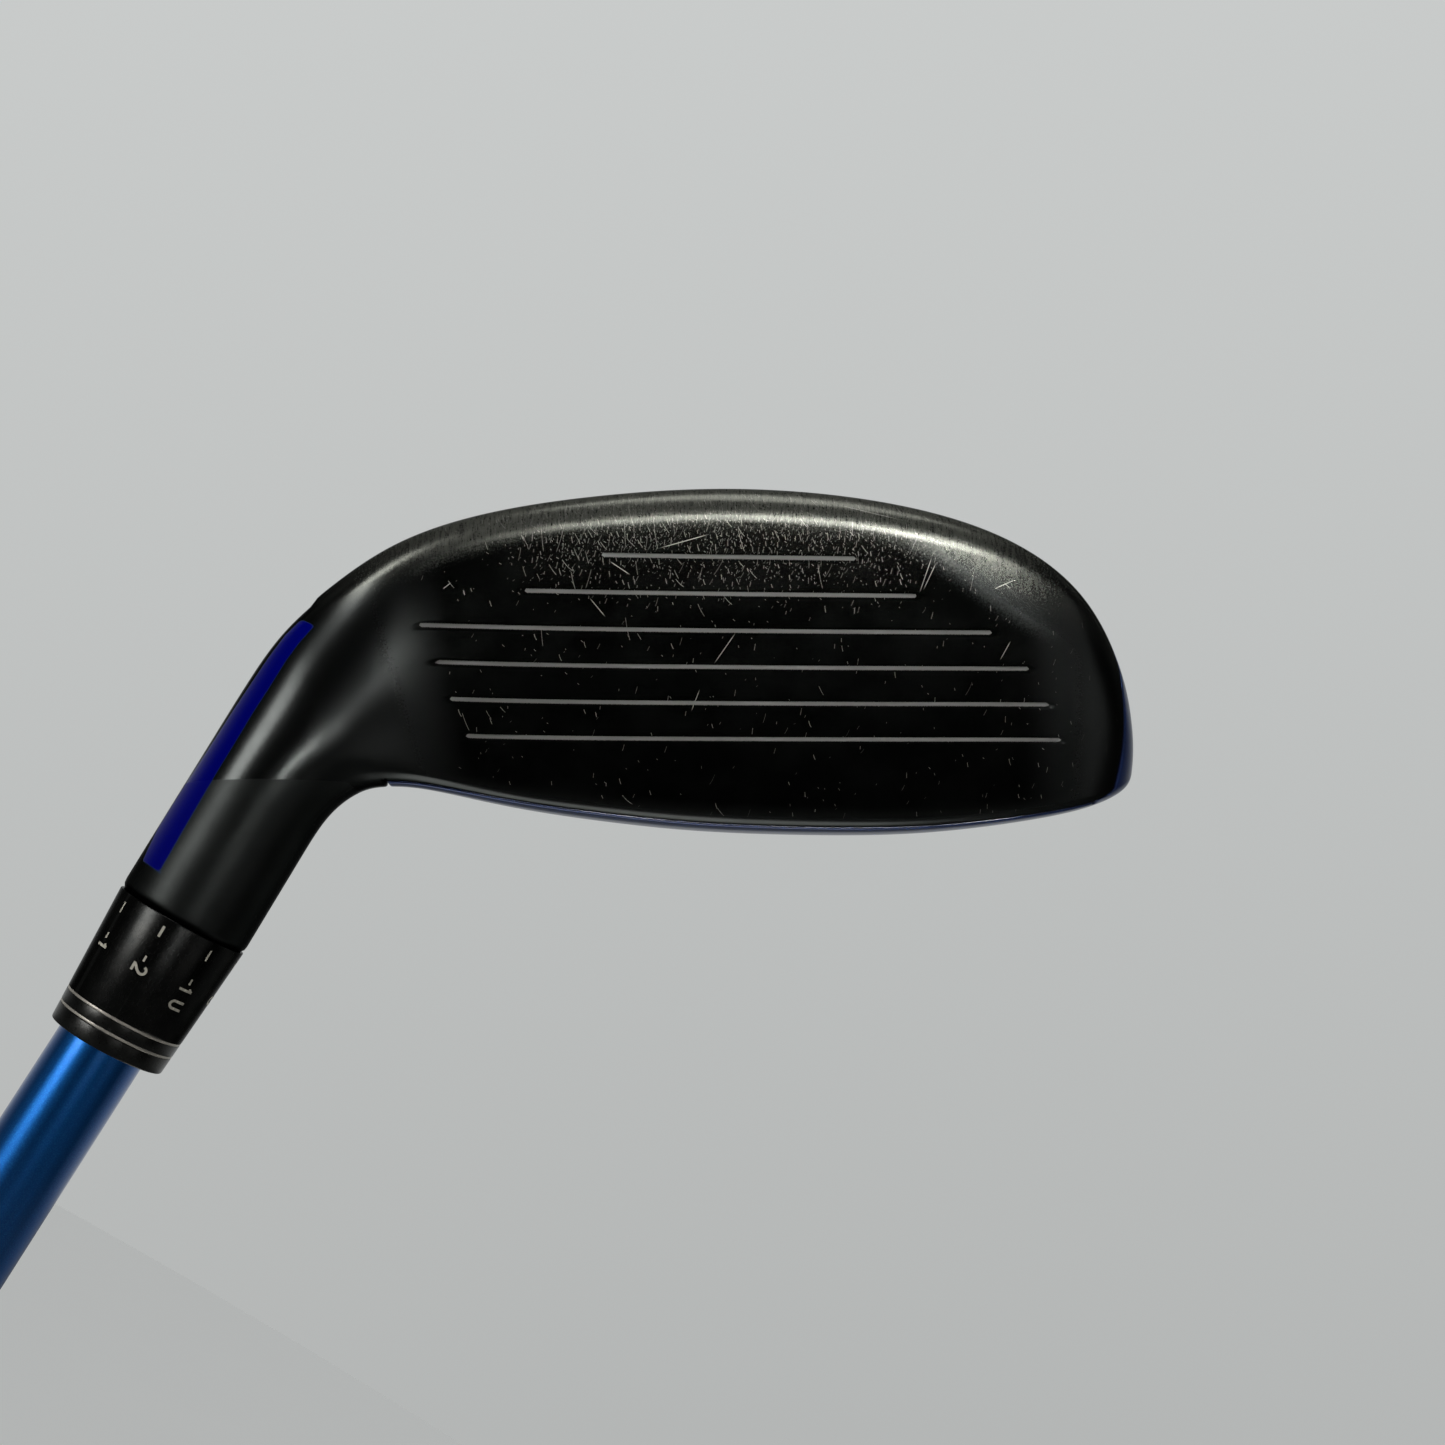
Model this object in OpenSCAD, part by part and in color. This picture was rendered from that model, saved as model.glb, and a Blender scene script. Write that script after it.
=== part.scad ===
// Hybrid golf club with an adjustable hosel, right-handed.
// Frame: the club stands head up on the end of its grip. The origin is the centre of the
// grip's end face, +Z runs up the shaft towards the head, the face looks along -Y and the
// toe points towards +X. All sizes are in millimetres.

/* [Club] */
// Length from the end of the grip to the ground point under the hosel
club_l = 1003; // [960:1:1040]
// Angle between the hosel's axis and the ground
lie = 60; // [58:0.5:62]
// Angle that the face leans back
loft = 22; // [18:1:26]
// Angle between the sleeve's bore and the sleeve itself
lean = 1.25; // [0:0.25:1.5]

/* [Shaft] */
// Outside diameter of the shaft at the tip
tip_d = 9.4; // [9.2:0.1:9.5]
// Outside diameter of the shaft at the butt
butt_d = 15.2; // [14.5:0.1:15.8]
// Wall of the shaft at the tip
tip_wall = 1.7; // [1.4:0.1:2]
// Wall of the shaft at the butt
butt_wall = 1.1; // [0.9:0.1:1.5]
// Length of the straight stretch at the tip
tip_straight = 110; // [80:5:140]

/* [Grip] */
// Length of the grip with its cap
grip_l = 268; // [255:1:275]
// Outside diameter of the grip at the cap
grip_butt_d = 26.6; // [25:0.2:28]
// Outside diameter of the grip at its mouth
grip_mouth_d = 20; // [19.5:0.1:21]
// Thickness of the cap
cap_t = 3; // [2:0.5:4]
// Diameter of the vent hole in the cap
vent_d = 3; // [2:0.5:4]

/* [Hosel] */
// Outside diameter of the hosel and of the sleeve's collar
hosel_d = 14.4; // [13.8:0.1:14.8]
// Diameter of the bore that takes the sleeve
bore_d = 11.8; // [11.6:0.1:11.9]
// Length of the sleeve that shows between the hosel and the shaft
collar_l = 14.8; // [13:0.1:16]
// Distance from the ground point to the end of the hosel
hosel_l = 53.6; // [52:0.1:56]
// Diameter of the wrench port in the sole
port_d = 9; // [8.6:0.1:9.2]

/* [Head] */
// Thickness of the crown
crown_t = 1; // [0.8:0.1:1.2]
// Thickness of the sole and the heel
body_t = 1.8; // [1.5:0.1:2]
// Greatest thickness of the face
face_t = 2.2; // [2:0.1:2.4]
// Width of the seams between the shells
seam = 0.16; // [0.1:0.02:0.2]

/* [Hidden] */

tip_r = tip_d / 2;
butt_r = butt_d / 2;
hosel_r = hosel_d / 2;
bore_r = bore_d / 2;
port_r = port_d / 2;

// The hosel's axis and the shaft's axis cross here, measured from the sleeve's end
cross_v = 18;
ground_v = hosel_l + collar_l;
cross_z = club_l - (ground_v - cross_v) * cos(lean);
ground_x = -(ground_v - cross_v) * sin(lean);

// Stations along the hosel's axis, measured from the sleeve's end towards the sole
ring_t = 0.3;
ring_upper_v = 1.8;
ring_lower_v = 3.3;
collar_v = collar_l;
nose_v = 36.1;
nose_end_v = 41.1;
bore_end_v = 42.9;
ledge_v = 45.9;
washer_t = 0.6;
head_play = 0.05;
screw_head_v = ledge_v + washer_t + head_play;
screw_head_l = 3.6;
screw_head_r = 3.8;
port_v = 50.4;
pocket_r = port_r - 0.4;
thread_top_v = 34.1;
insert_v = 33.7;
insert_r = 3.6;
thread_r = 2.3;

// Where the shaft's tip ends inside the sleeve
tip_v = 31.9;
tip_z = cross_z + tip_v - cross_v;
tip_flange = 0.9;

tape_gap = 0.03;
tape_t = 0.2;
end_r = 6.3;
glue = 0.05;

// ---- Places -------------------------------------------------------------------------

// Moves children to the hosel's axis: their z = 0 is the sleeve's end, +Z runs to the sole
module on_hosel(v = 0) {
    translate([0, 0, cross_z]) rotate([0, -lean, 0]) translate([0, 0, v - cross_v]) children();
}

// Moves children to the head's own frame: origin on the ground under the hosel, X to the
// toe, Y to the back, Z down through the sole
module on_head() {
    translate([ground_x, 0, club_l]) rotate([0, lie - 90 - lean, 0]) children();
}

module tube(r_out, r_in, h) {
    difference() {
        cylinder(r = r_out, h = h, $fn = 96);
        translate([0, 0, -1]) cylinder(r = r_in, h = h + 2, $fn = 96);
    }
}

// ---- The shaft group ------------------------------------------------------------------

// Outside radius of the shaft at height z
function shaft_r(z) = z > tip_z - tip_straight ? tip_r
    : butt_r - (butt_r - tip_r) * (z - cap_t) / (tip_z - tip_straight - cap_t);

module shaft() {
    taper_z = tip_z - tip_straight;
    color([0.05, 0.2, 0.6]) rotate_extrude($fn = 96) polygon([
        [butt_r - butt_wall, cap_t], [butt_r, cap_t], [tip_r, taper_z], [tip_r, tip_z],
        [tip_r - tip_wall, tip_z], [tip_r - tip_wall, taper_z]
    ]);
}

// Brass plug glued into the tip of the shaft
module tip_weight() {
    plug_l = 14;
    plug_r = tip_r - tip_wall - glue;
    color([0.72, 0.55, 0.25]) {
        translate([0, 0, tip_z + 0.02]) cylinder(r = tip_r - 0.1, h = tip_flange, $fn = 64);
        translate([0, 0, tip_z - plug_l]) cylinder(r = plug_r, h = plug_l + 0.1, $fn = 64);
    }
}

module grip_tape() {
    z0 = cap_t + 1;
    z1 = grip_l - 4;
    color([0.9, 0.88, 0.8]) rotate_extrude($fn = 96) polygon([
        [shaft_r(z0) + tape_gap, z0], [shaft_r(z0) + tape_gap + tape_t, z0],
        [shaft_r(z1) + tape_gap + tape_t, z1], [shaft_r(z1) + tape_gap, z1]
    ]);
}

// Outside radius of the grip at height z: a slightly hollow taper from cap to mouth
function grip_r(z) = let (f = (z - cap_t) / (grip_l - cap_t))
    grip_butt_d / 2 - (grip_butt_d - grip_mouth_d) / 2 * (1.25 * f - 0.25 * f * f);

module grip() {
    rings = 24;
    lip = 0.4;
    lip_l = 5;
    z0 = cap_t;
    inner = tape_t + 2 * tape_gap;
    color([0.08, 0.08, 0.08]) rotate_extrude($fn = 96) polygon(concat(
        [for (k = [0:rings]) let (z = z0 + (grip_l - lip_l - z0) * k / rings) [grip_r(z), z]],
        [[grip_r(grip_l) + lip, grip_l - lip_l], [grip_r(grip_l) + lip, grip_l - 1],
         [grip_r(grip_l), grip_l], [shaft_r(grip_l) + inner, grip_l],
         [shaft_r(z0) + inner, z0]]
    ));
}

module grip_cap() {
    cap_r = grip_butt_d / 2;
    round = 1.2;
    steps = 8;
    color([0.1, 0.1, 0.1]) difference() {
        rotate_extrude($fn = 96) polygon(concat(
            [[0, 0]],
            [for (k = [0:steps]) let (g = 90 * k / steps)
                [cap_r - round + round * sin(g), round - round * cos(g)]],
            [[cap_r, cap_t], [0, cap_t]]
        ));
        translate([0, 0, -1]) cylinder(d = vent_d, h = cap_t + 2, $fn = 48);
    }
}

// ---- The sleeve and its ferrule ---------------------------------------------------------

// Outside radius of the tapered sleeve and ferrule, v from the sleeve's end
function collar_r(v) = end_r + (hosel_r - end_r) * min(1, v / collar_l);

// One slice of the tapered ferrule, bored along the shaft's own axis
module ferrule_slice(v0, v1) {
    difference() {
        on_hosel() rotate_extrude($fn = 96)
            polygon([[0, v0], [collar_r(v0), v0], [collar_r(v1), v1], [0, v1]]);
        translate([0, 0, cross_z - 40]) cylinder(r = tip_r + glue, h = 50, $fn = 96);
    }
}

module ferrule_end() {
    edge = 0.5;
    color([0.06, 0.06, 0.06]) difference() {
        on_hosel() rotate_extrude($fn = 96) polygon([
            [0, 0], [end_r - edge, 0], [end_r - edge * 0.3, edge * 0.3], [end_r, edge],
            [collar_r(ring_upper_v), ring_upper_v], [0, ring_upper_v]
        ]);
        translate([0, 0, cross_z - 40]) cylinder(r = tip_r + glue, h = 50, $fn = 96);
    }
}

module ferrule_ring_upper() {
    color([0.75, 0.74, 0.7]) ferrule_slice(ring_upper_v, ring_upper_v + ring_t);
}

module ferrule_spacer() {
    color([0.06, 0.06, 0.06]) ferrule_slice(ring_upper_v + ring_t, ring_lower_v);
}

module ferrule_ring_lower() {
    color([0.75, 0.74, 0.7]) ferrule_slice(ring_lower_v, ring_lower_v + ring_t);
}

splines = 8;
nose_r = 4.75;
slot_r = 4.2;
slot_w = 1.6;
fit_gap = 0.05;

module adapter_sleeve() {
    v0 = ring_lower_v + ring_t;
    color([0.12, 0.12, 0.13]) difference() {
        on_hosel() rotate_extrude($fn = 96) polygon([
            [0, v0], [collar_r(v0), v0], [hosel_r, collar_v], [bore_r - fit_gap, collar_v],
            [bore_r - fit_gap, nose_v - 0.5], [bore_r - fit_gap - 0.5, nose_v], [nose_r, nose_v],
            [nose_r, nose_end_v - 0.4], [nose_r - 0.4, nose_end_v], [0, nose_end_v]
        ]);
        translate([0, 0, cross_z - 40])
            cylinder(r = tip_r + glue, h = 40 + tip_v - cross_v + tip_flange + 0.3, $fn = 96);
        on_hosel(insert_v) cylinder(r = insert_r + 0.02, h = 20, $fn = 64);
        for (k = [0:splines - 1])
            on_hosel(nose_v) rotate([0, 0, k * 360 / splines])
                translate([slot_r, -slot_w / 2, -0.01]) cube([5, slot_w, 8]);
    }
}

// Steel thread insert in the sleeve's nose
module thread_insert() {
    color([0.7, 0.7, 0.72]) on_hosel(insert_v + 0.02)
        tube(insert_r, thread_r + 0.06, nose_end_v - insert_v - 0.1);
}

// Toothed ring pressed into the bottom of the hosel's bore
module spline_ring() {
    tooth_w = 1.3;
    tooth_r = 4.4;
    inner_r = 4.9;
    ring_l = bore_end_v - nose_v - 0.3;
    color([0.6, 0.6, 0.62]) on_hosel(nose_v + 0.25) {
        tube(bore_r - 0.02, inner_r, ring_l);
        for (k = [0:splines - 1]) rotate([0, 0, k * 360 / splines]) intersection() {
            translate([tooth_r, -tooth_w / 2, 0]) cube([1, tooth_w, ring_l]);
            cylinder(r = inner_r + 0.3, h = ring_l, $fn = 96);
        }
    }
}

// ---- The screw ------------------------------------------------------------------------

module screw_retainer() {
    color([0.85, 0.82, 0.7]) on_hosel(bore_end_v - 1.3) tube(4.1, 2.6, 1.25);
}

module screw_washer() {
    color([0.75, 0.75, 0.77]) on_hosel(ledge_v) tube(screw_head_r + 0.1, 2.65, washer_t);
}

module hosel_screw() {
    socket_r = 2.3;
    color([0.2, 0.2, 0.22]) on_hosel() difference() {
        rotate_extrude($fn = 96) polygon([
            [0, thread_top_v], [thread_r - 0.3, thread_top_v], [thread_r, thread_top_v + 0.5],
            [thread_r, screw_head_v], [screw_head_r, screw_head_v],
            [screw_head_r, screw_head_v + screw_head_l - 0.5],
            [screw_head_r - 0.5, screw_head_v + screw_head_l],
            [0, screw_head_v + screw_head_l]
        ]);
        translate([0, 0, screw_head_v + screw_head_l - 2.6])
            for (g = [0, 60]) rotate([0, 0, g]) cylinder(r = socket_r, h = 4, $fn = 3);
    }
}

// ---- The head's surface -----------------------------------------------------------------
// Sections are carried between two rails in the head's X-Z plane: one along the hosel's
// inner side and the top line, one along the hosel's outer side, the heel and the sole.
// A row gives [crown rail x, z, sole rail x, z, front y, back y, tan(loft), body share].

tan_l = tan(loft);

// A row on the straight hosel, w from the ground point towards the grip. It lies a hair
// inside the hosel's own cylinder, so that the two surfaces never coincide.
skin_r = hosel_r - 0.02;
function hosel_row(w) = let (ax = -w * cos(lie), az = -w * sin(lie)) [
    ax + skin_r * sin(lie), az - skin_r * cos(lie),
    ax - skin_r * sin(lie), az + skin_r * cos(lie), -skin_r, skin_r, 0, 0];

rows = concat([for (w = [hosel_l, 47.6, 41.6, 36.4]) hosel_row(w)], [
    [ -8.6, -32.7, -20.5, -21.2, -7.5,  7.9, 0.08 * tan_l, 0.10],
    [ -6.3, -32.3, -16.9, -15.7, -8.2, 11.0, 0.30 * tan_l, 0.35],
    [ -3.3, -32.2, -11.3, -11.0, -8.7, 17.5, 0.58 * tan_l, 0.65],
    [  1.2, -32.9,  -4.5,  -6.3, -9.1, 26.5, 0.82 * tan_l, 0.90],
    [  7.8, -34.2,   5.0,  -3.2, -9.3, 36.5, 0.95 * tan_l, 1],
    [ 16.8, -35.4,  15.7,  -1.4, -9.6, 44.0, tan_l, 1],
    [ 28.0, -36.6,  27.8,  -0.2, -9.7, 47.5, tan_l, 1],
    [ 40.3, -37.0,  39.9,  -0.4, -9.5, 47.0, tan_l, 1],
    [ 52.8, -37.1,  51.9,  -2.0, -8.9, 43.0, tan_l, 1],
    [ 64.1, -35.9,  62.2,  -5.2, -7.9, 36.0, tan_l, 1],
    [ 72.7, -34.4,  70.6, -10.5, -5.5, 28.0, tan_l, 0.95],
    [ 77.1, -32.4,  75.7, -18.2, -0.5, 20.0, tan_l, 0.85],
    [ 78.3, -30.9,  77.9, -24.1,  4.0, 14.0, tan_l, 0.7],
    [ 78.6, -28.9,  78.6, -28.9,  8.5,  8.5, tan_l, 0.6]
]);
last = len(rows) - 1;

// The same list with one more row at each end, so that the curve reaches the end rows
function padded(r) = concat([2 * r[0] - r[1]], r, [2 * r[last] - r[last - 1]]);
nets = padded(rows);

// A row between the given ones, by a uniform cubic B-spline; u runs from 0 to last
function row_at(u) =
    let (i = min(floor(u), last - 1), f = u - i)
    ((1 - f) * (1 - f) * (1 - f) * nets[i]
    + (3 * f * f * f - 6 * f * f + 4) * nets[i + 1]
    + (-3 * f * f * f + 3 * f * f + 3 * f + 1) * nets[i + 2]
    + f * f * f * nets[i + 3]) / 6;

// Section outline in a unit square, [0 at crown to 1 at sole, 0 at front to 1 at back]:
// six Bezier pieces, for the face, leading edge, sole, skirt, crown and top line
body_net = [
    [[0.045, 0], [0.32, 0], [0.60, 0], [0.875, 0]],
    [[0.875, 0], [0.94, 0], [0.993, 0.03], [0.996, 0.085]],
    [[0.996, 0.085], [1.008, 0.30], [0.95, 0.68], [0.84, 0.89]],
    [[0.84, 0.89], [0.79, 0.985], [0.64, 1.02], [0.52, 0.955]],
    [[0.52, 0.955], [0.30, 0.836], [0.005, 0.50], [0.0, 0.105]],
    [[0.0, 0.105], [-0.0005, 0.04], [0.01, 0], [0.045, 0]]
];
ring_angles = [35, 150, 178, 245, 290, 345, 395];

// The same six pieces bent to a full circle, for the hosel
function ring_point(g) = [0.5 - 0.5 * cos(g), 0.5 - 0.5 * sin(g)];
function ring_slope(g) = [0.5 * sin(g), -0.5 * cos(g)];
ring_net = [for (k = [0:5]) let (g0 = ring_angles[k], g1 = ring_angles[k + 1],
        arm = 4 / 3 * tan((g1 - g0) / 4))
    [ring_point(g0), ring_point(g0) + arm * ring_slope(g0),
     ring_point(g1) - arm * ring_slope(g1), ring_point(g1)]];

function bezier(p, f) = (1 - f) * (1 - f) * (1 - f) * p[0] + 3 * (1 - f) * (1 - f) * f * p[1]
    + 3 * (1 - f) * f * f * p[2] + f * f * f * p[3];

// Point of the head's surface, u along the rails and t round the section from 0 to 6
roll = 0.5;
function skin(u, t) =
    let (r = row_at(u), tt = t < 0 ? t + 6 : t >= 6 ? t - 6 : t, k = floor(tt), m = r[7],
        q = (1 - m) * bezier(ring_net[k], tt - k) + m * bezier(body_net[k], tt - k),
        a = q[0], b = q[1], h = norm([r[2] - r[0], r[3] - r[1]]),
        front = r[4] + (1 - a) * h * r[6] - roll * m * 4 * a * (1 - a) * min(1, h / 30))
    [r[0] + a * (r[2] - r[0]), (1 - b) * front + b * r[5], r[1] + a * (r[3] - r[1])];

// Outward unit normal of the surface
step = 0.01;
function skin_normal(u, t) =
    let (c = min(u, last - 0.04), du = skin(c + step, t) - skin(c - step, t),
        dt = skin(c, t + step) - skin(c, t - step), n = cross(du, dt))
    n / norm(n);

// ---- Shells cut from the surface --------------------------------------------------------

toe_u = 14.2;
toe_bow = 0.85;
start_u = 2;
seam_top_t = 5.6;
seam_low_t = 2;
skirt_t = 3.5;
toe_i = 34;
end_i = 42;
counts = [8, 5, 8, 6, 8, 5];
t_list = [for (k = [0:5]) each [for (j = [0:counts[k] - 1]) k + j / counts[k]]];
n_t = len(t_list);
top_j = n_t - 2;
low_j = counts[0] + counts[1];
skirt_j = low_j + counts[2] + 3;
face_i = 17;
crown_i = 9;

// Where the toe's seam crosses the line t: bowed out on the front, straight elsewhere
function toe_seam(t) =
    let (f = t > seam_top_t ? t - seam_top_t : t < seam_low_t ? t + 6 - seam_top_t : 0)
    toe_u + toe_bow * sin(180 * f / (seam_low_t + 6 - seam_top_t));

function u_at(i, t) = i <= toe_i
    ? start_u + (toe_seam(t) - start_u) * i / toe_i
    : toe_seam(t) + (last - toe_seam(t)) * (i - toe_i) / (end_i - toe_i);

function wrap(j) = (j + n_t) % n_t;
points = [for (i = [0:end_i]) [for (j = [0:n_t - 1]) skin(u_at(i, t_list[j]), t_list[j])]];
normals = [for (i = [0:end_i]) [for (j = [0:n_t - 1]) skin_normal(u_at(i, t_list[j]), t_list[j])]];

// Which shell a cell of the grid belongs to
function on_front(j) = j >= top_j || j < low_j;
function on_crown(j) = j >= skirt_j && j < top_j;
function is_face(i, j) = i >= face_i && i < toe_i && on_front(j);
function is_crown(i, j) = i >= toe_i || (i >= crown_i && on_crown(j));
function in_shell(kind, i, j) = i >= 0 && i < end_i
    && (kind == "face" ? is_face(i, j)
        : kind == "crown" ? is_crown(i, j)
        : !is_face(i, j) && !is_crown(i, j));

// How far a corner of the grid moves away from its shell's edge, along i and along j
function lean_i(kind, i, j) =
    (in_shell(kind, i, j) ? 1 : 0) + (in_shell(kind, i, wrap(j - 1)) ? 1 : 0)
    - (in_shell(kind, i - 1, j) ? 1 : 0) - (in_shell(kind, i - 1, wrap(j - 1)) ? 1 : 0);
function lean_j(kind, i, j) =
    (in_shell(kind, i, j) ? 1 : 0) + (in_shell(kind, i - 1, j) ? 1 : 0)
    - (in_shell(kind, i, wrap(j - 1)) ? 1 : 0) - (in_shell(kind, i - 1, wrap(j - 1)) ? 1 : 0);
function toward(a, b) = norm(b - a) < 0.001 ? [0, 0, 0] : (b - a) / norm(b - a);
function shell_point(kind, i, j) =
    let (p = points[i][j], li = sign(lean_i(kind, i, j)), lj = sign(lean_j(kind, i, j)),
        pi = points[max(0, min(end_i, i + li))][j], pj = points[i][wrap(j + lj)])
    p + (i == 0 || i == end_i ? 0 : seam / 2) * (toward(p, pi) + toward(p, pj));

// A closed shell: the outer grid, the grid moved in by the thickness, and the rims
module shell(kind, thick) {
    span = end_i + 1;
    size = span * n_t;
    pts = concat(
        [for (i = [0:end_i]) each [for (j = [0:n_t - 1]) shell_point(kind, i, j)]],
        [for (i = [0:end_i]) each [for (j = [0:n_t - 1])
            shell_point(kind, i, j) - normals[i][j] * thick(i, j)]]);
    tip = end_i * n_t;
    cells = [for (i = [0:end_i - 1]) each [for (j = [0:n_t - 1])
        if (in_shell(kind, i, j)) [i, j]]];
    faces = concat(
        [for (c = cells) each let (a = c[0] * n_t + c[1], b = c[0] * n_t + wrap(c[1] + 1),
                d = c[0] == end_i - 1 ? tip : a + n_t, e = c[0] == end_i - 1 ? tip : b + n_t)
            concat([[a, b, d], [a + size, d + size, b + size]],
                d == e ? [] : [[b, e, d], [b + size, d + size, e + size]])],
        [for (c = cells) let (i = c[0], j = c[1], a = i * n_t + j, b = i * n_t + wrap(j + 1))
            each concat(
                in_shell(kind, i - 1, j) ? [] : quad(b, a, size),
                i == end_i - 1 || in_shell(kind, i + 1, j) ? [] : quad(a + n_t, b + n_t, size),
                in_shell(kind, i, wrap(j - 1)) ? [] : quad(a, a + n_t, size),
                in_shell(kind, i, wrap(j + 1)) ? [] : quad(b + n_t, b, size))]);
    polyhedron(points = pts, faces = faces, convexity = 12);
}

// Two triangles that close a rim between the outer edge a-b and the inner one
function quad(a, b, size) = [[a, b, a + size], [b, b + size, a + size]];

// The whole head as one solid, moved in by a distance, for trimming what is inside
module core_solid(inset) {
    pts = [for (i = [0:end_i]) each [for (j = [0:n_t - 1]) points[i][j] - inset * normals[i][j]]];
    tip = end_i * n_t;
    polyhedron(points = pts, convexity = 12, faces = concat(
        [[for (j = [n_t - 1:-1:0]) j]],
        [for (i = [0:end_i - 1]) each [for (j = [0:n_t - 1]) let (a = i * n_t + j,
                b = i * n_t + wrap(j + 1), d = i == end_i - 1 ? tip : a + n_t,
                e = i == end_i - 1 ? tip : b + n_t)
            each concat([[a, b, d]], d == e ? [] : [[b, e, d]])]]));
}

// ---- The head's pieces --------------------------------------------------------------------

// Place of the rear weight's port: a point on the sole and the tilt of its axis
weight_at = [29, 31, -3.3];
weight_tilt = 11;
weight_r = 6.2;
weight_port_r = 6.4;
weight_port_l = 5;

module on_weight() {
    on_head() translate(weight_at) rotate([-weight_tilt, 0, 0]) children();
}

// The body shell with the hosel's tube, the wall that the screw bears on, and both ports
module head_body() {
    tube_v = collar_v + hosel_l - 41.6;
    color([0.13, 0.13, 0.13]) difference() {
        union() {
            on_head() shell("body", function(i, j) body_t);
            on_hosel(collar_v) cylinder(r = hosel_r, h = tube_v + 0.4 - collar_v, $fn = 96);
            intersection() {
                union() {
                    on_hosel(tube_v - 2) cylinder(r = bore_r + 0.9, h = ledge_v - tube_v + 2, $fn = 96);
                    on_hosel(ledge_v - 1) cylinder(r = port_r + 1.2, h = 22, $fn = 96);
                    on_weight() translate([0, 0, -11]) cylinder(r = weight_port_r + 1.5, h = 14, $fn = 64);
                }
                on_head() core_solid(0.6);
            }
        }
        on_hosel(0) cylinder(r = bore_r, h = bore_end_v, $fn = 96);
        on_hosel(0) cylinder(r = 2.8, h = 60, $fn = 64);
        on_hosel(ledge_v) cylinder(r = pocket_r, h = 30, $fn = 96);
        on_hosel(port_v) cylinder(r = port_r, h = 30, $fn = 96);
        on_weight() translate([0, 0, -weight_port_l]) cylinder(r = weight_port_r, h = 12, $fn = 96);
        on_weight() translate([0, 0, -12]) cylinder(r = 2.55, h = 12, $fn = 48);
    }
}

module face_cup() {
    edge_t = 1.2;
    color([0.04, 0.04, 0.04]) on_head()
        shell("face", function(i, j) let (t = t_list[j])
            t < 1 ? edge_t + (face_t - edge_t) * (1 - pow(abs(2 * t - 1), 4)) : edge_t);
}

module crown_shell() {
    color([0.05, 0.15, 0.45]) on_head() shell("crown", function(i, j) crown_t);
}

module sole_weight() {
    color([0.7, 0.7, 0.72]) on_weight() difference() {
        rotate_extrude($fn = 96) polygon([
            [0, -10.6], [2.1, -10.6], [2.5, -10.2], [2.5, -4.3], [weight_r, -4.3],
            [weight_r, -1.1], [weight_r - 0.4, -0.7], [0, -0.7]
        ]);
        translate([0, 0, -3.2]) for (g = [0, 60]) rotate([0, 0, g]) cylinder(r = 2.8, h = 4, $fn = 3);
    }
}

module weight_seal() {
    color([0.1, 0.1, 0.1]) on_weight() translate([0, 0, -weight_port_l]) tube(5.2, 2.9, 0.65);
}

// Soft pad poured on the inside of the sole, which deadens the sound
module damping_pad() {
    color([0.85, 0.75, 0.4]) on_head() translate([50, 12, -5.1]) rotate([-5, 11, 0])
        rotate_extrude($fn = 64)
            polygon([[0, 0.3], [4, 0.2], [7, 0], [6.6, -1], [5, -2], [0, -2.6]]);
}

grip_cap();
grip();
grip_tape();
shaft();
tip_weight();
adapter_sleeve();
thread_insert();
ferrule_ring_lower();
ferrule_spacer();
ferrule_ring_upper();
ferrule_end();
head_body();
face_cup();
crown_shell();
spline_ring();
screw_retainer();
screw_washer();
hosel_screw();
sole_weight();
weight_seal();
damping_pad();
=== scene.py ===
"""Looks of an adjustable hybrid golf club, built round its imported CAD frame.

The club stands head up on its grip: +Z up the shaft, the face towards -Y, the toe towards +X.
Shapes are worked out in millimetres and go into their meshes in metres.
"""

import math

import bpy
import numpy as np
from mathutils import Matrix, Vector


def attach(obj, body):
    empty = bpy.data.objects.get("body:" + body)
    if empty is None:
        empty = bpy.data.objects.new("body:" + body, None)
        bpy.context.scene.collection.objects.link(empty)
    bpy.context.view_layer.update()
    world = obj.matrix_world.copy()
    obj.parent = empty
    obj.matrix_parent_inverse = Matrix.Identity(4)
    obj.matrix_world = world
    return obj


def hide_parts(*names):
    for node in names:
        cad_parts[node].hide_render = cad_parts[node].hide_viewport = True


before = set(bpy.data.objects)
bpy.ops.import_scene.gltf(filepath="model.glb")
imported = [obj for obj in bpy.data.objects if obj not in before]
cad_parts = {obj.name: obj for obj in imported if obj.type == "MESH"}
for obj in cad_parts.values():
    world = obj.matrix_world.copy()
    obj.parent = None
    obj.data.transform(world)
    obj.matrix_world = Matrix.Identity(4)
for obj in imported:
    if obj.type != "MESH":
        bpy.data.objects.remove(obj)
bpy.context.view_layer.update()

MM = 0.001
# Lie and loft of the head, and the lean of the shaft's bore in the sleeve
LIE, LOFT, LEAN = math.radians(60), math.radians(22), math.radians(1.25)
# Radii about the hosel's axis: outside, sleeve bore, screw port in the sole, screw pocket
HOSEL_R, BORE_R, PORT_R, POCKET_R = 7.2, 5.9, 4.5, 4.1
# Places along the hosel's axis, from the ferrule's end: collar's end, start and end of the
# sleeve's splined nose, end of the bore, ledge under the screw's head, end of its pocket
COLLAR_V, NOSE_V, NOSE_END_V, BORE_END_V, LEDGE_V, PORT_V = 14.8, 36.1, 41.1, 42.9, 45.9, 50.4
# The hosel from its mouth to the ground, the club's length, and where the hosel's axis
# and the shaft's axis cross
HOSEL_L, CLUB_L, CROSS_V = 53.6, 1003.0, 18.0
GROUND_V = HOSEL_L + COLLAR_V
CROSS_Z = CLUB_L - (GROUND_V - CROSS_V) * math.cos(LEAN)
GROUND_X = -(GROUND_V - CROSS_V) * math.sin(LEAN)
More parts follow.
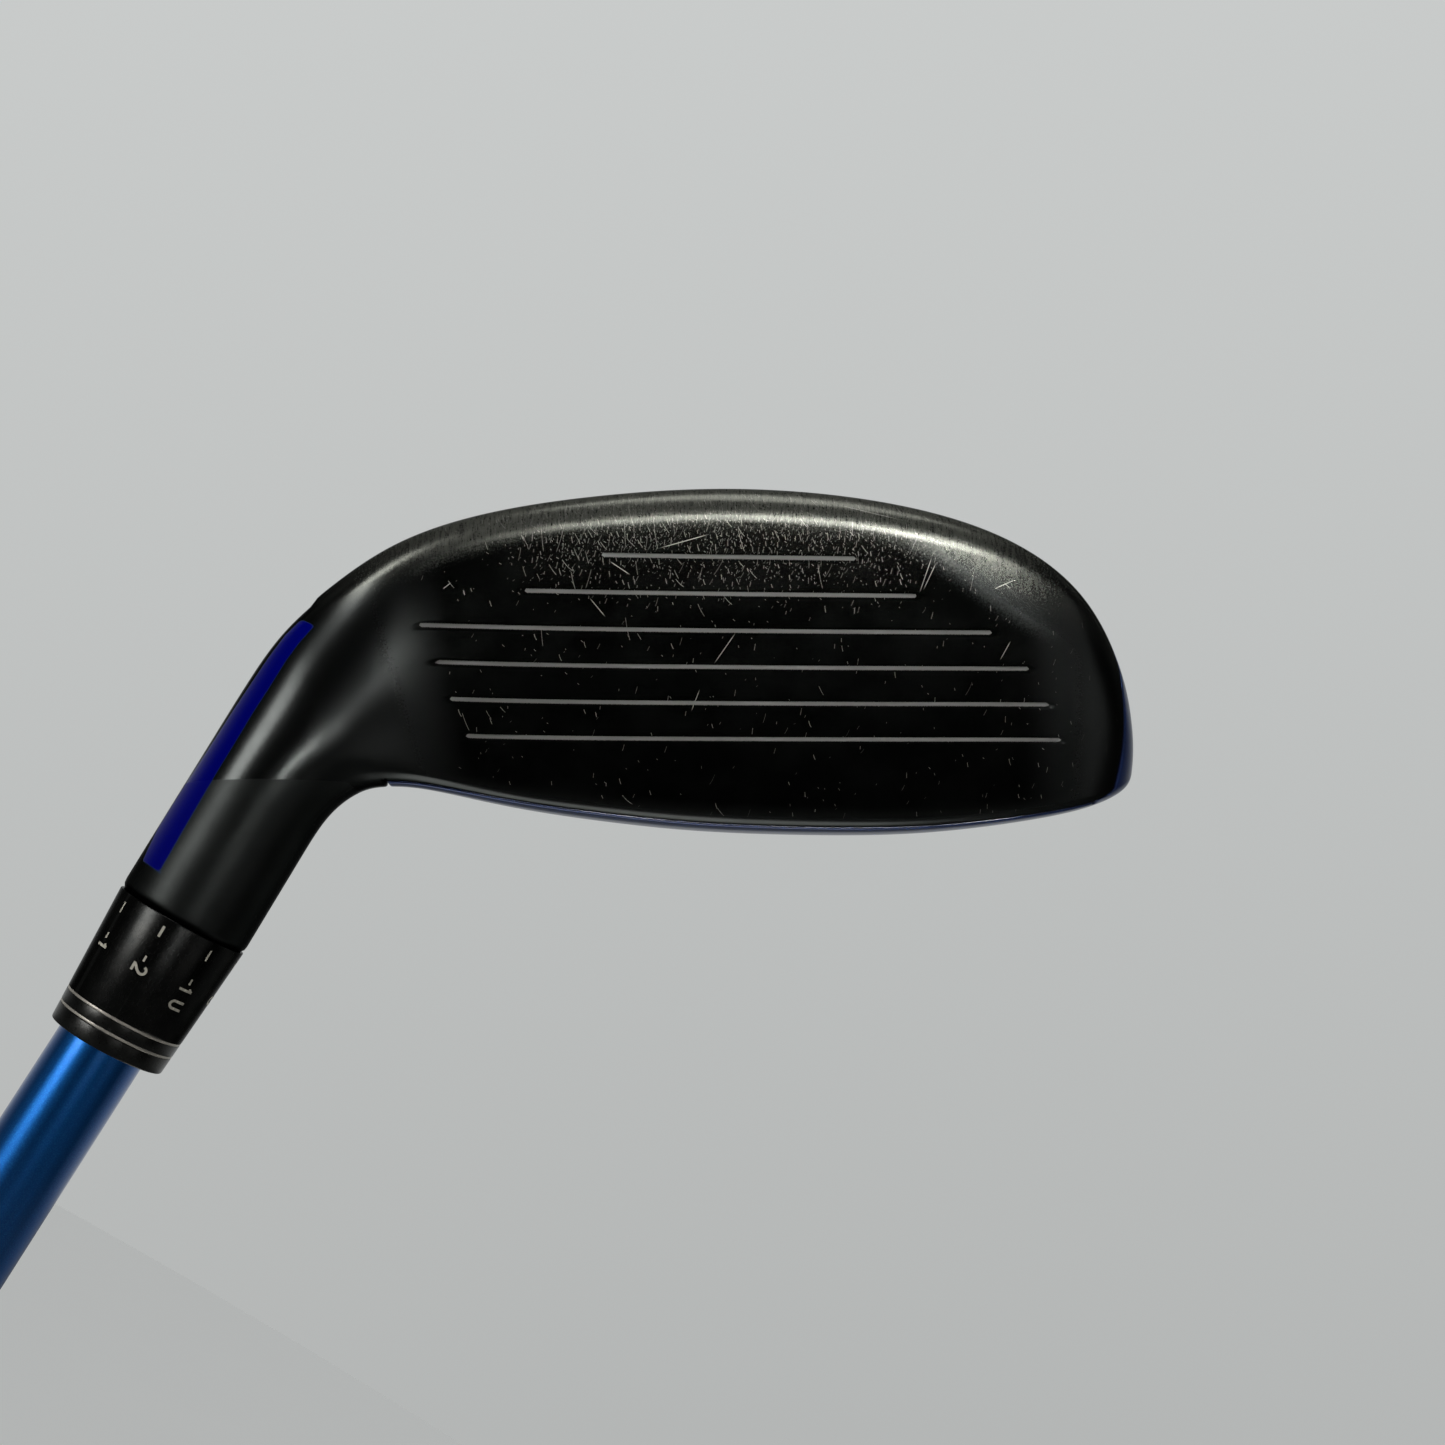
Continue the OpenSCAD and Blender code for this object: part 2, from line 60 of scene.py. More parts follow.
# The shaft: its radius at the tip and at the butt, where its tip ends in the sleeve, and
# where the even part of the tip starts
TIP_R, BUTT_R, TIP_V, EVEN_L = 4.7, 7.6, 31.9, 110
TIP_Z = CROSS_Z + TIP_V - CROSS_V
TAPER_Z = TIP_Z - EVEN_L
# The grip's length and greatest radius, and its cap's thickness and vent
GRIP_L, GRIP_R, CAP_T, VENT_R = 268.0, 13.3, 3.0, 1.5
# The sole weight: its place and tilt on the sole, the radii of its hole and of the threaded
# hole below it, and how far down the wide part of the hole goes
WEIGHT_AT, WEIGHT_TILT = np.array([29, 31, -3.3]), math.radians(11)
WEIGHT_HOLE_R, WEIGHT_STEM_R, WEIGHT_HOLE_END = 6.4, 2.55, -5


# ---- Places ---------------------------------------------------------------------------

def turned(p, angle, x, z):
    """Points turned about Y by an angle, then moved by x and z; millimetres to metres."""
    c, s = math.cos(angle), math.sin(angle)
    return np.stack([p[..., 0] * c + p[..., 2] * s + x, p[..., 1],
                     -p[..., 0] * s + p[..., 2] * c + z], -1) * MM


def from_head(p):
    """From the head's frame (on the ground under the hosel, Z down) to the club's."""
    return turned(p, LIE - math.pi / 2 - LEAN, GROUND_X, CLUB_L)


def from_hosel(p):
    """From the hosel's frame (Z runs to the sole from the sleeve's end) to the club's."""
    return turned(p - np.array([0, 0, CROSS_V]), -LEAN, 0, CROSS_Z)


def from_shaft(p):
    """From millimetres in the club's own frame to metres."""
    return np.asarray(p, float) * MM


def from_weight(p):
    """From the sole weight's frame, tilted about X on the sole, to the club's."""
    c, s = math.cos(-WEIGHT_TILT), math.sin(-WEIGHT_TILT)
    return from_head(np.stack([p[..., 0], c * p[..., 1] - s * p[..., 2],
                               s * p[..., 1] + c * p[..., 2]], -1) + WEIGHT_AT)


def hosel_to_head(p):
    """From the hosel's frame to the head's: a turn by the lie about Y."""
    c, s = math.sin(LIE), math.cos(LIE)
    w = p[..., 2] - GROUND_V
    return np.stack([c * p[..., 0] + s * w, p[..., 1], -s * p[..., 0] + c * w], -1)


# ---- Meshes ---------------------------------------------------------------------------

def piece(name, points, faces, body, material, replaces=(), marks=None, sharp=32):
    """A mesh piece from whole arrays of points and faces; marks are point attributes."""
    mesh = bpy.data.meshes.new(name)
    mesh.from_pydata(points.reshape(-1, 3).tolist(), [], faces)
    mesh.validate()
    for key, values in (marks or {}).items():
        kind, field = ("FLOAT", "value") if values.ndim == 1 else ("FLOAT_VECTOR", "vector")
        layer = mesh.attributes.new(key, kind, "POINT")
        layer.data.foreach_set(field, values.astype(np.float32).ravel())
    mesh.shade_smooth()
    mesh.set_sharp_from_angle(angle=math.radians(sharp))
    mesh.materials.append(material)
    obj = bpy.data.objects.new(name, mesh)
    bpy.context.scene.collection.objects.link(obj)
    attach(obj, body)
    if replaces:
        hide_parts(*replaces)
    return obj


def angles(around):
    """Evenly spaced angles once round."""
    return np.linspace(0, 2 * np.pi, around, endpoint=False)


def about_z(r, h, g):
    """Points (r cos g, r sin g, h) about the Z axis."""
    r, h, g = np.broadcast_arrays(r, h, g)
    return np.stack([r * np.cos(g), r * np.sin(g), h], -1)


def ring_faces(rows, around):
    """Quads of a grid of rings, closed all the way round."""
    i, j = np.meshgrid(np.arange(rows - 1), np.arange(around), indexing="ij")
    k = (j + 1) % around
    return np.stack([i * around + j, i * around + k, (i + 1) * around + k,
                     (i + 1) * around + j], -1).reshape(-1, 4).tolist()


def fan(first, around, centre, flip=False):
    """Triangles from a ring of points, numbered from first, to one centre point."""
    a = first + np.arange(around)
    b = first + (np.arange(around) + 1) % around
    c = np.full(around, centre)
    return np.stack([b, a, c] if flip else [a, b, c], 1).tolist()


def lathe(profile, place, around=128, capped=False):
    """A profile of (radius, height) carried once round the Z axis of a place.

    A point is (r cos g, r sin g, h); caps close both ends with a fan at the centre."""
    profile = np.asarray(profile, float)
    points = about_z(profile[:, :1], profile[:, 1:], angles(around)).reshape(-1, 3)
    faces = ring_faces(len(profile), around)
    if capped:
        n = len(points)
        points = np.vstack([points, [0, 0, profile[0, 1]], [0, 0, profile[-1, 1]]])
        faces += fan(0, around, n, flip=True) + fan(n - around, around, n + 1)
    return place(points), faces


def bevelled(corners, width=0.15, steps=3):
    """A profile of (radius, height) corners with each inner corner cut to a small arc.

    An arc is the parabola (1-f)^2 A + f^2 B about the corner, from the point A one width
    before it to the point B one width after it."""
    corners = np.asarray(corners, float)
    most = 0.45
    out = [corners[0]]
    for before, at, after in zip(corners[:-2], corners[1:-1], corners[2:]):
        a, b = before - at, after - at
        la, lb = np.linalg.norm(a), np.linalg.norm(b)
        w = min(width, la * most, lb * most)
        for f in np.linspace(0, 1, steps + 1):
            out.append(at + (1 - f) ** 2 * w * a / la + f ** 2 * w * b / lb)
    out.append(corners[-1])
    return np.array(out)


# ---- The head's surface ---------------------------------------------------------------

def hosel_row(w):
    """A row on the straight hosel, w from the ground point towards the grip."""
    ax, az, r = -w * math.cos(LIE), -w * math.sin(LIE), HOSEL_R - 0.02
    c, s = r * math.sin(LIE), r * math.cos(LIE)
    return [ax + c, az - s, ax - c, az + s, -r, r, 0, 0]


SLANT = math.tan(LOFT)
# Each row: crown rail x, z; sole rail x, z; front y, back y; slope of the face; body share
ROWS = np.array([hosel_row(w) for w in (HOSEL_L, 47.6, 41.6, 36.4)] + [
    [-8.6, -32.7, -20.5, -21.2, -7.5, 7.9, 0.08 * SLANT, 0.10],
    [-6.3, -32.3, -16.9, -15.7, -8.2, 11.0, 0.30 * SLANT, 0.35],
    [-3.3, -32.2, -11.3, -11.0, -8.7, 17.5, 0.58 * SLANT, 0.65],
    [1.2, -32.9, -4.5, -6.3, -9.1, 26.5, 0.82 * SLANT, 0.90],
    [7.8, -34.2, 5.0, -3.2, -9.3, 36.5, 0.95 * SLANT, 1],
    [16.8, -35.4, 15.7, -1.4, -9.6, 44.0, SLANT, 1],
    [28.0, -36.6, 27.8, -0.2, -9.7, 47.5, SLANT, 1],
    [40.3, -37.0, 39.9, -0.4, -9.5, 47.0, SLANT, 1],
    [52.8, -37.1, 51.9, -2.0, -8.9, 43.0, SLANT, 1],
    [64.1, -35.9, 62.2, -5.2, -7.9, 36.0, SLANT, 1],
    [72.7, -34.4, 70.6, -10.5, -5.5, 28.0, SLANT, 0.95],
    [77.1, -32.4, 75.7, -18.2, -0.5, 20.0, SLANT, 0.85],
    [78.3, -30.9, 77.9, -24.1, 4.0, 14.0, SLANT, 0.7],
    [78.6, -28.9, 78.6, -28.9, 8.5, 8.5, SLANT, 0.6]])
LAST = len(ROWS) - 1
NETS = np.vstack([2 * ROWS[0] - ROWS[1], ROWS, 2 * ROWS[-1] - ROWS[-2]])
# Section in a unit square as Bezier pieces: face, leading edge, sole, skirt, crown, top line
BODY_NET = np.array([
    [[0.045, 0], [0.32, 0], [0.60, 0], [0.875, 0]],
    [[0.875, 0], [0.94, 0], [0.993, 0.03], [0.996, 0.085]],
    [[0.996, 0.085], [1.008, 0.30], [0.95, 0.68], [0.84, 0.89]],
    [[0.84, 0.89], [0.79, 0.985], [0.64, 1.02], [0.52, 0.955]],
    [[0.52, 0.955], [0.30, 0.836], [0.005, 0.50], [0.0, 0.105]],
    [[0.0, 0.105], [-0.0005, 0.04], [0.01, 0], [0.045, 0]]])
# Where the same six pieces part on the hosel's circle
RING_ANGLES = np.radians([35, 150, 178, 245, 290, 345, 395])


def ring_net():
    """The same six pieces bent to a full circle, for the hosel."""
    def at(g):
        return np.array([0.5 - 0.5 * np.cos(g), 0.5 - 0.5 * np.sin(g)])

    def slope(g):
        return np.array([0.5 * np.sin(g), -0.5 * np.cos(g)])
    out = []
    for a, b in zip(RING_ANGLES[:-1], RING_ANGLES[1:]):
        arm = 4 / 3 * np.tan((b - a) / 4)
        out.append([at(a), at(a) + arm * slope(a), at(b) - arm * slope(b), at(b)])
    return np.array(out)


RING_NET = ring_net()


def skin(u, t):
    """The head's surface: a section between two rails, carried along u, with t round it.

    The rails and depths are a uniform cubic B-spline of the rows. The section blends, by
    the body share, from a circle on the hosel to the club-head outline, both of Bezier
    pieces, and its front leans back by the loft and is a little crowned."""
    u, t = np.broadcast_arrays(np.asarray(u, float), np.asarray(t, float))
    i = np.clip(np.floor(u), 0, LAST - 1).astype(int)
    f = (u - i)[..., None]
    row = ((1 - f) ** 3 * NETS[i] + (3 * f ** 3 - 6 * f * f + 4) * NETS[i + 1]
           + (-3 * f ** 3 + 3 * f * f + 3 * f + 1) * NETS[i + 2] + f ** 3 * NETS[i + 3]) / 6
    t = np.mod(t, 6)
    k = np.minimum(np.floor(t), 5).astype(int)
    f = (t - k)[..., None]

    def bezier(net):
        p = net[k]
        return ((1 - f) ** 3 * p[..., 0, :] + 3 * (1 - f) ** 2 * f * p[..., 1, :]
                + 3 * (1 - f) * f * f * p[..., 2, :] + f ** 3 * p[..., 3, :])
    share = row[..., 7:8]
    q = (1 - share) * bezier(RING_NET) + share * bezier(BODY_NET)
    a, b, share = q[..., 0], q[..., 1], share[..., 0]
    h = np.hypot(row[..., 2] - row[..., 0], row[..., 3] - row[..., 1])
    front = (row[..., 4] + (1 - a) * h * row[..., 6]
             - 0.5 * share * 4 * a * (1 - a) * np.minimum(1, h / 30))
    return np.stack([row[..., 0] + a * (row[..., 2] - row[..., 0]),
                     (1 - b) * front + b * row[..., 5],
                     row[..., 1] + a * (row[..., 3] - row[..., 1])], -1)


def skin_normal(u, t, step=0.008):
    """Outward unit normal: the cross product of the two slopes of the surface."""
    u = np.minimum(u, LAST - 0.02)
    n = np.cross(skin(u + step, t) - skin(u - step, t), skin(u, t + step) - skin(u, t - step))
    return n / np.maximum(np.linalg.norm(n, axis=-1, keepdims=True), 1e-12)


# The crown's seams: at the heel, at the toe with its bow and lean, along the top line and
# along the skirt
HEEL_U, TOE_U, TOE_BOW, TOE_LEAN, TOP_T, SKIRT_T = 5.2, 14.2, 1.15, 0.25, 5.6, 3.5
# A seam's lip: how far its lines stand from the seam, how deep they lie, and the widest
# that the lip may be in t on the top line and on the skirt
LIP_AT = np.array([0.10, 0.13, 0.21, 0.32, 0.46])
LIP_DEEP = np.array([0.5, 0.18, 0.07, 0.02, 0.0])
TOP_LIP_T, SKIRT_LIP_T = 0.11, 0.045
LIPS = np.arange(1, len(LIP_AT) + 1)
# Lines of the grid along each stretch, points of its measuring lines, and lines round each
# piece of the section
N_HOSEL, N_BODY, N_TOE, N_FINE = 62, 150, 30, 500
N_ROUND = (300, 26, 46, 24, 46, 16)


def toe_seam(t):
    """Station of the toe's seam on line t: bowed and leaning over the front, easing behind."""
    f = np.mod(t - TOP_T, 6)
    width = 8 - TOP_T
    ease = 0.5 - 0.5 * np.cos(np.pi * np.clip((6 - f) / (6 - width), 0, 1))
    return TOE_U + np.where(f < width, TOE_BOW * np.sin(np.pi * f / width) - TOE_LEAN * f,
                            -TOE_LEAN * width * ease)


def round_lines():
    """Lines round the section: (t, side and number of the lip line, or 0 away from seams)."""
    t = np.concatenate([k + np.arange(n) / n for k, n in enumerate(N_ROUND)])
    t = t[(abs(t - TOP_T) > TOP_LIP_T + 0.02) & (abs(t - SKIRT_T) > SKIRT_LIP_T + 0.01)]
    both = np.concatenate([-LIPS[::-1], LIPS])
    seam = np.concatenate([np.zeros(len(t), int), both, both])
    t = np.concatenate([t, np.full(len(both), SKIRT_T), np.full(len(both), TOP_T)])
    order = np.argsort(t, kind="stable")
    return t[order], seam[order]


def stretch(length, count, lip_start, lip_end):
    """Distances along a stretch: evenly spaced, with lip lines packed next to its seams."""
    start = LIP_AT[-1] if lip_start else 0
    end = LIP_AT[-1] if lip_end else 0
    inner = start + (length - start - end)[None] * np.linspace(0, 1, count)[:, None]
    parts = [inner]
    if lip_start:
        parts.insert(0, LIP_AT[:-1, None] + 0 * length)
    if lip_end:
        parts.append(length - LIP_AT[:-1][::-1, None])
    return np.vstack(parts)


def head_grid():
    """Stations (u, t) of the head's grid, with the lip number of each column.

    Along each line t the columns are set by arc length between the hosel's mouth, the
    crown's heel seam, the toe's seam and the toe's tip."""
    t, seam = round_lines()
    near_toe, before_toe = 12, 240
    fine = np.concatenate([np.linspace(0, near_toe, before_toe),
                           np.linspace(near_toe, LAST, N_FINE - before_toe)[1:]])
    p = skin(fine[:, None], t[None])
    run = np.vstack([np.zeros(len(t)), np.cumsum(np.linalg.norm(np.diff(p, axis=0), axis=-1), 0)])

    def length_at(u):
        return np.array([np.interp(u[j], fine, run[:, j]) for j in range(len(t))])
    heel, toe = length_at(np.full(len(t), HEEL_U)), length_at(toe_seam(t))
    s = np.vstack([stretch(heel, N_HOSEL, False, True),
                   heel + stretch(toe - heel, N_BODY, True, True),
                   toe + stretch(run[-1] - toe, N_TOE, True, False)])
    column = np.concatenate([np.zeros(N_HOSEL - 1, int), -LIPS[::-1], LIPS,
                             np.zeros(N_BODY - 2, int), -LIPS[::-1], LIPS,
                             np.zeros(N_TOE - 1, int)])
    u = np.stack([np.interp(s[:, j], run[:, j], fine) for j in range(len(t))], 1)
    # Lip lines stand off their seam by a distance, turned into t by the surface's rate
    moved = np.broadcast_to(t, u.shape).copy()
    lip = seam != 0
    at, step = t[lip], 0.01
    rate = np.linalg.norm(skin(u[:, lip], at + step) - skin(u[:, lip], at - step),
                          axis=-1) / (2 * step)
    most = np.where(at == TOP_T, TOP_LIP_T, SKIRT_LIP_T)
    off = LIP_AT[abs(seam[lip]) - 1]
    moved[:, lip] += np.sign(seam[lip]) * np.minimum(off / np.maximum(rate, 1e-6),
                                                     most * off / LIP_AT[-1])
    return u, moved, t, seam, column


def smooth(x):
    """0 below 0 and 1 above 1, with a smooth step 3x^2 - 2x^3 between."""
    x = np.clip(x, 0, 1)
    return x * x * (3 - 2 * x)


# Score lines of the face: height of the first, pitch, and where each one starts and ends
LINE_Z, LINE_PITCH = -8.33, -3.75
GROOVE_HALF, GROOVE_WALL, GROOVE_DEEP = 0.36, 0.2, 0.26
FAR = 9.0  # stands for a distance that no mark reaches
LINE_X = [(17.2, 44.2), (9.1, 50.9), (-1.9, 59.5), (-0.3, 63.9), (1.2, 66.5), (2.8, 68.2)]


def line_distance(p):
    """Distance from points of the face to the middle of the nearest score line."""
    best = np.full(p.shape[:-1], np.inf)
    for k, (x0, x1) in enumerate(LINE_X):
        out = np.maximum(np.maximum(x0 - p[..., 0], p[..., 0] - x1), 0)
        best = np.minimum(best, np.hypot(out, p[..., 2] - LINE_Z - k * LINE_PITCH))
    return best


def inside_band(p, left, right):
    """Signed distance into a painted band between two side lines in the X-Z plane."""
    x, z = p[..., 0], p[..., 2]
    l, r = np.array(left), np.array(right)
    start, end = 0.5 * (l[0] + r[0]), 0.5 * (l[-1] + r[-1])
    length = np.linalg.norm(end - start)
    way = (end - start) / length
    run = (x - start[0]) * way[0] + (z - start[1]) * way[1]
    square = 0.86  # a step in x across the slanting band, as a distance square to it
    side = square * np.minimum(x - np.interp(z, l[:, 1], l[:, 0]),
                               np.interp(z, r[:, 1], r[:, 0]) - x)
    return np.minimum(side, np.minimum(run, length - run))


# Sides of the hosel's painted band, as x and z of the head's frame
STRIPE_LEFT = [(-30.4, -40.6), (-29.1, -36.7), (-26.4, -32.2), (-23.9, -28.3), (-21.55, -24.5),
               (-19.85, -21.9), (-18.2, -19.3), (-16.3, -16.6), (-14.6, -15.0)]
STRIPE_RIGHT = [(-28.0, -41.5), (-25.4, -36.6), (-22.65, -31.5), (-20.85, -28.35), (-19.1, -25.2),
                (-17.4, -22.4), (-15.8, -19.6), (-14.5, -17.7), (-13.0, -15.9)]


def open_hole(points, normals, quads, centre, axis, radius, reach, wall, wall_end):
    """Cuts a round hole through a grid of quads and adds its wall.

    The cells inside the circle go, their rim moves onto the circle within the surface, and
    the wall's rings follow: each a radius with a depth below the rim, or None for the
    hole's end at wall_end along the axis."""
    rel = points - centre
    along = rel @ axis
    off = rel - along[:, None] * axis
    r = np.linalg.norm(off, axis=1)
    near = (along > reach[0]) & (along < reach[1]) & ((normals @ axis) > 0.1)
    gone = (np.linalg.norm(off[quads].mean(1), axis=1) < radius) & near[quads].all(1)
    rim = np.intersect1d(np.unique(quads[gone]), np.unique(quads[~gone]))
    out = off[rim] / r[rim][:, None]
    n = normals[rim]
    tilt = ((out * n).sum(1) / np.maximum((n @ axis), 0.1))[:, None]
    points = points.copy()
    points[rim] += (radius - r[rim])[:, None] * (out - axis * tilt)
    # Two directions square to the axis, from any direction that isn't along it
    side = np.cross(axis, [0.3, 1, 0.2])
    side /= np.linalg.norm(side)
    other = np.cross(axis, side)
    angle = np.arctan2(out @ other, out @ side)
    order = np.argsort(angle)
    rim, angle = rim[order], angle[order]
    edge = (points[rim] - centre) @ axis
    circle = np.cos(angle)[:, None] * side + np.sin(angle)[:, None] * other
    rings, added = [rim], []
    for ring_r, depth in wall:
        level = np.full(len(rim), wall_end) if depth is None else edge - depth
        rings.append(len(points) + len(rim) * len(added) + np.arange(len(rim)))
        added.append(centre + circle * ring_r + level[:, None] * axis)
    wall_quads = np.vstack([np.stack([a, np.roll(a, -1), np.roll(b, -1), b], 1)[:, ::-1]
                            for a, b in zip(rings[:-1], rings[1:])])
    return np.vstack([points] + added), quads[~gone], wall_quads


# Lips drawn in at the hosel's mouth, and the ledge that stands up along the top line
MOUTH_DEEP, LEDGE_HIGH = np.array([0.35, 0.06, 0]), 0.28


def head_pieces():
    """The painted crown and the black body with its face, cut from one grid.

    A point is the surface less its depth along the normal: the deeper of the lips that it
    lies on, plus the groove of a score line, less the ledge along the top line."""
    u, t, line_t, seam, column = head_grid()
    p, n = skin(u, t), skin_normal(u, t)
    rows, around = u.shape
    lips = len(LIPS)
    first_heel = N_HOSEL - 1 + lips
    first_toe = first_heel + N_BODY + 2 * lips - 2
    index = np.arange(rows)
    after_heel, after_toe = index >= first_heel, index >= first_toe
    crown_line = (line_t > SKIRT_T) & (line_t < TOP_T)
    crown_line |= ((line_t == SKIRT_T) & (seam > 0)) | ((line_t == TOP_T) & (seam < 0))

    lip = np.concatenate([[0], LIP_DEEP])
    heel_lip = lip[abs(column)] * (abs(index - first_heel + 0.5) < lips)
    toe_lip = lip[abs(column)] * (abs(index - first_toe + 0.5) < lips)
    lip_deep = np.maximum.reduce([
        lip[abs(seam)][None] * (after_heel & ~after_toe)[:, None],
        heel_lip[:, None] * (crown_line | (seam != 0))[None],
        toe_lip[:, None] * (~crown_line | (seam != 0))[None]])
    lip_deep[:3] = np.maximum(lip_deep[:3], MOUTH_DEEP[:, None])
    near = line_distance(p)
    front = (t < 1) | (t > 5.9)
    groove = np.where(front, np.clip((GROOVE_HALF - near) / GROOVE_WALL, 0, 1), 0)
    ledge = (smooth((u - 5.5) / 0.22) * smooth((8.5 - u) / 2.6)
             * smooth((t - 1.4) / 0.25) * smooth((2.7 - t) / 0.5))
    deep = lip_deep + GROOVE_DEEP * smooth(groove)
    flat = (p + (LEDGE_HIGH * ledge - deep)[..., None] * n).reshape(-1, 3)
    normals = n.reshape(-1, 3)
    band = np.where((t > 0.4) & (t < 2.6), inside_band(p, STRIPE_LEFT, STRIPE_RIGHT), -FAR)
    marks = {"head_at": p.reshape(-1, 3),
             "round_at": np.where(t > 4.5, t - 6, t).ravel(),
             "run_at": u.ravel(),
             "line_gap": np.where(front, near, FAR).ravel(),
             "stripe_in": band.ravel(),
             "lip_deep": lip_deep.ravel()}

    # Cells: those that cross a seam are left out, and the rest are crown or body
    i, j = np.meshgrid(np.arange(rows - 1), np.arange(around), indexing="ij")
    k = (j + 1) % around
    quads = np.stack([i * around + j, (i + 1) * around + j, (i + 1) * around + k,
                      i * around + k], -1)
    crossing_u = (column[:-1] < 0) & (column[1:] > 0)
    crossing_t = ((seam < 0) & (np.roll(seam, -1) > 0))[None]
    at_heel = (crossing_u & (index[:-1] < first_toe - 1))[:, None]
    at_toe = crossing_u[:, None] & ~at_heel
    crown_cell = (crown_line & np.roll(crown_line, -1))[None]
    span = (after_heel & ~after_toe)[:-1, None]
    gap = (crossing_t & span) | (at_heel & crown_cell) | (at_toe & ~crown_cell)
    crown = (span & crown_cell) | after_toe[:-1, None] | (at_toe & crown_cell)
    tip = i == rows - 2
    last = quads[-1]
    tip_fan = np.stack([last[:, 0], np.full(around, last[0, 1]), last[:, 3]], 1)

    base, end = hosel_to_head(np.array([[0, 0, 0], [0, 0, 1.0]]))
    pts, left, port_wall = open_hole(
        flat, normals, quads[~crown & ~gap], base, end - base, PORT_R + 0.25, (48, 72),
        [(PORT_R + 0.08, 0.08), (PORT_R, 0.28), (PORT_R, None)], PORT_V)
    # The port's wall gets no normal, so that the second hole leaves it alone
    grown = np.vstack([normals, np.zeros((len(pts) - len(normals), 3))])
    weight_axis = np.array([0, math.sin(WEIGHT_TILT), math.cos(WEIGHT_TILT)])
    pts, left, weight_wall = open_hole(
        pts, grown, left, WEIGHT_AT, weight_axis, WEIGHT_HOLE_R + 0.25, (-4, 5),
        [(WEIGHT_HOLE_R + 0.08, 0.08), (WEIGHT_HOLE_R, 0.25), (WEIGHT_HOLE_R, None),
         (WEIGHT_STEM_R, None), (WEIGHT_STEM_R, None)], WEIGHT_HOLE_END)
    on_wall = {"round_at": 2.4, "run_at": 8, "line_gap": FAR, "stripe_in": -FAR, "lip_deep": 0}
    extra = pts[len(flat):]
    body_marks = {"head_at": np.vstack([marks["head_at"], extra])}
    for key, value in on_wall.items():
        body_marks[key] = np.concatenate([marks[key], np.full(len(extra), value)])
    return ((flat, [quads[crown & ~tip & ~gap], tip_fan], marks),
            (pts, [left, port_wall, weight_wall], body_marks))


def compact(points, groups, marks):
    """Drops the points that no face uses, and joins the groups of faces in one list."""
    used = np.unique(np.concatenate([group.ravel() for group in groups]))
    new = np.zeros(len(points), int)
    new[used] = np.arange(len(used))
    faces = [face for group in groups for face in new[group].tolist()]
    return points[used], faces, {key: values[used] for key, values in marks.items()}


# ---- Materials ------------------------------------------------------------------------

class Finish:
    """A material's node tree, with short ways to add the nodes that these finishes use."""

    def __init__(self, name, **sockets):
        self.material = bpy.data.materials.new(name)
        self.material.use_nodes = True
        self.tree = self.material.node_tree
        self.tree.nodes.clear()
        out = self.tree.nodes.new("ShaderNodeOutputMaterial")
        self.shader = self.tree.nodes.new("ShaderNodeBsdfPrincipled")
        self.tree.links.new(self.shader.outputs[0], out.inputs[0])
        for key, value in sockets.items():
            self.set(self.shader, key.replace("_", " "), value)

    def set(self, node, key, value):
        """Links a socket, or sets its value; a colour gets its alpha."""
        socket = node.inputs[key]
        if isinstance(value, bpy.types.NodeSocket):
            self.tree.links.new(value, socket)
        elif isinstance(value, (tuple, list)) and len(value) == 3 and socket.type == "RGBA":
            socket.default_value = (*value, 1)
        else:
            socket.default_value = value

    def node(self, kind, inputs=None, output=0, **settings):
        """Adds a node, with its settings and its inputs, and gives one output."""
        node = self.tree.nodes.new("ShaderNode" + kind)
        for key, value in settings.items():
            setattr(node, key, value)
        for key, value in (inputs or {}).items():
            self.set(node, key, value)
        return node.outputs[output]

    def place(self):
        """The object's own coordinates, in metres."""
        return self.node("TexCoord", output="Object")

    def mark(self, name, output="Fac"):
        """A point attribute of the piece."""
        return self.node("Attribute", output=output, attribute_name=name)

    def math(self, operation, a, b=0.0, c=0.0):
        """A sum, product or other operation of up to three values."""
        return self.node("Math", {0: a, 1: b, 2: c}, operation=operation)

    def ramp(self, value, low, high, to_low=0.0, to_high=1.0):
        """A smooth step from one value at low to another at high."""
        return self.node("MapRange", {0: value, 1: low, 2: high, 3: to_low, 4: to_high},
                         interpolation_type="SMOOTHSTEP")

    def noise(self, where, scale, detail=4.0, rough=0.55):
        """Cloudy noise about 0.5, with so many cells to a unit of its coordinates."""
        return self.node("TexNoise", {"Vector": where, "Scale": scale, "Detail": detail,
                                      "Roughness": rough}, output="Fac")

    def mix(self, factor, a, b):
        """Colour a where the factor is 0 and colour b where it is 1."""
        node = self.tree.nodes.new("ShaderNodeMix")
        node.data_type = "RGBA"
        self.set(node, 0, factor)
        self.set(node, 6, a)
        self.set(node, 7, b)
        return node.outputs[2]

    def bump(self, height, strength, distance):
        """The surface's normal, tilted by a height of so many metres."""
        return self.node("Bump", {"Height": height, "Strength": strength,
                                  "Distance": distance})

    def spread(self, where, scale):
        """Coordinates scaled by different amounts along the axes."""
        return self.node("Mapping", {"Vector": where, "Scale": scale})

    def finish(self, **sockets):
        """Sets the shader's last sockets and gives the material."""
        for key, value in sockets.items():
            self.set(self.shader, key.replace("_", " "), value)
        return self.material


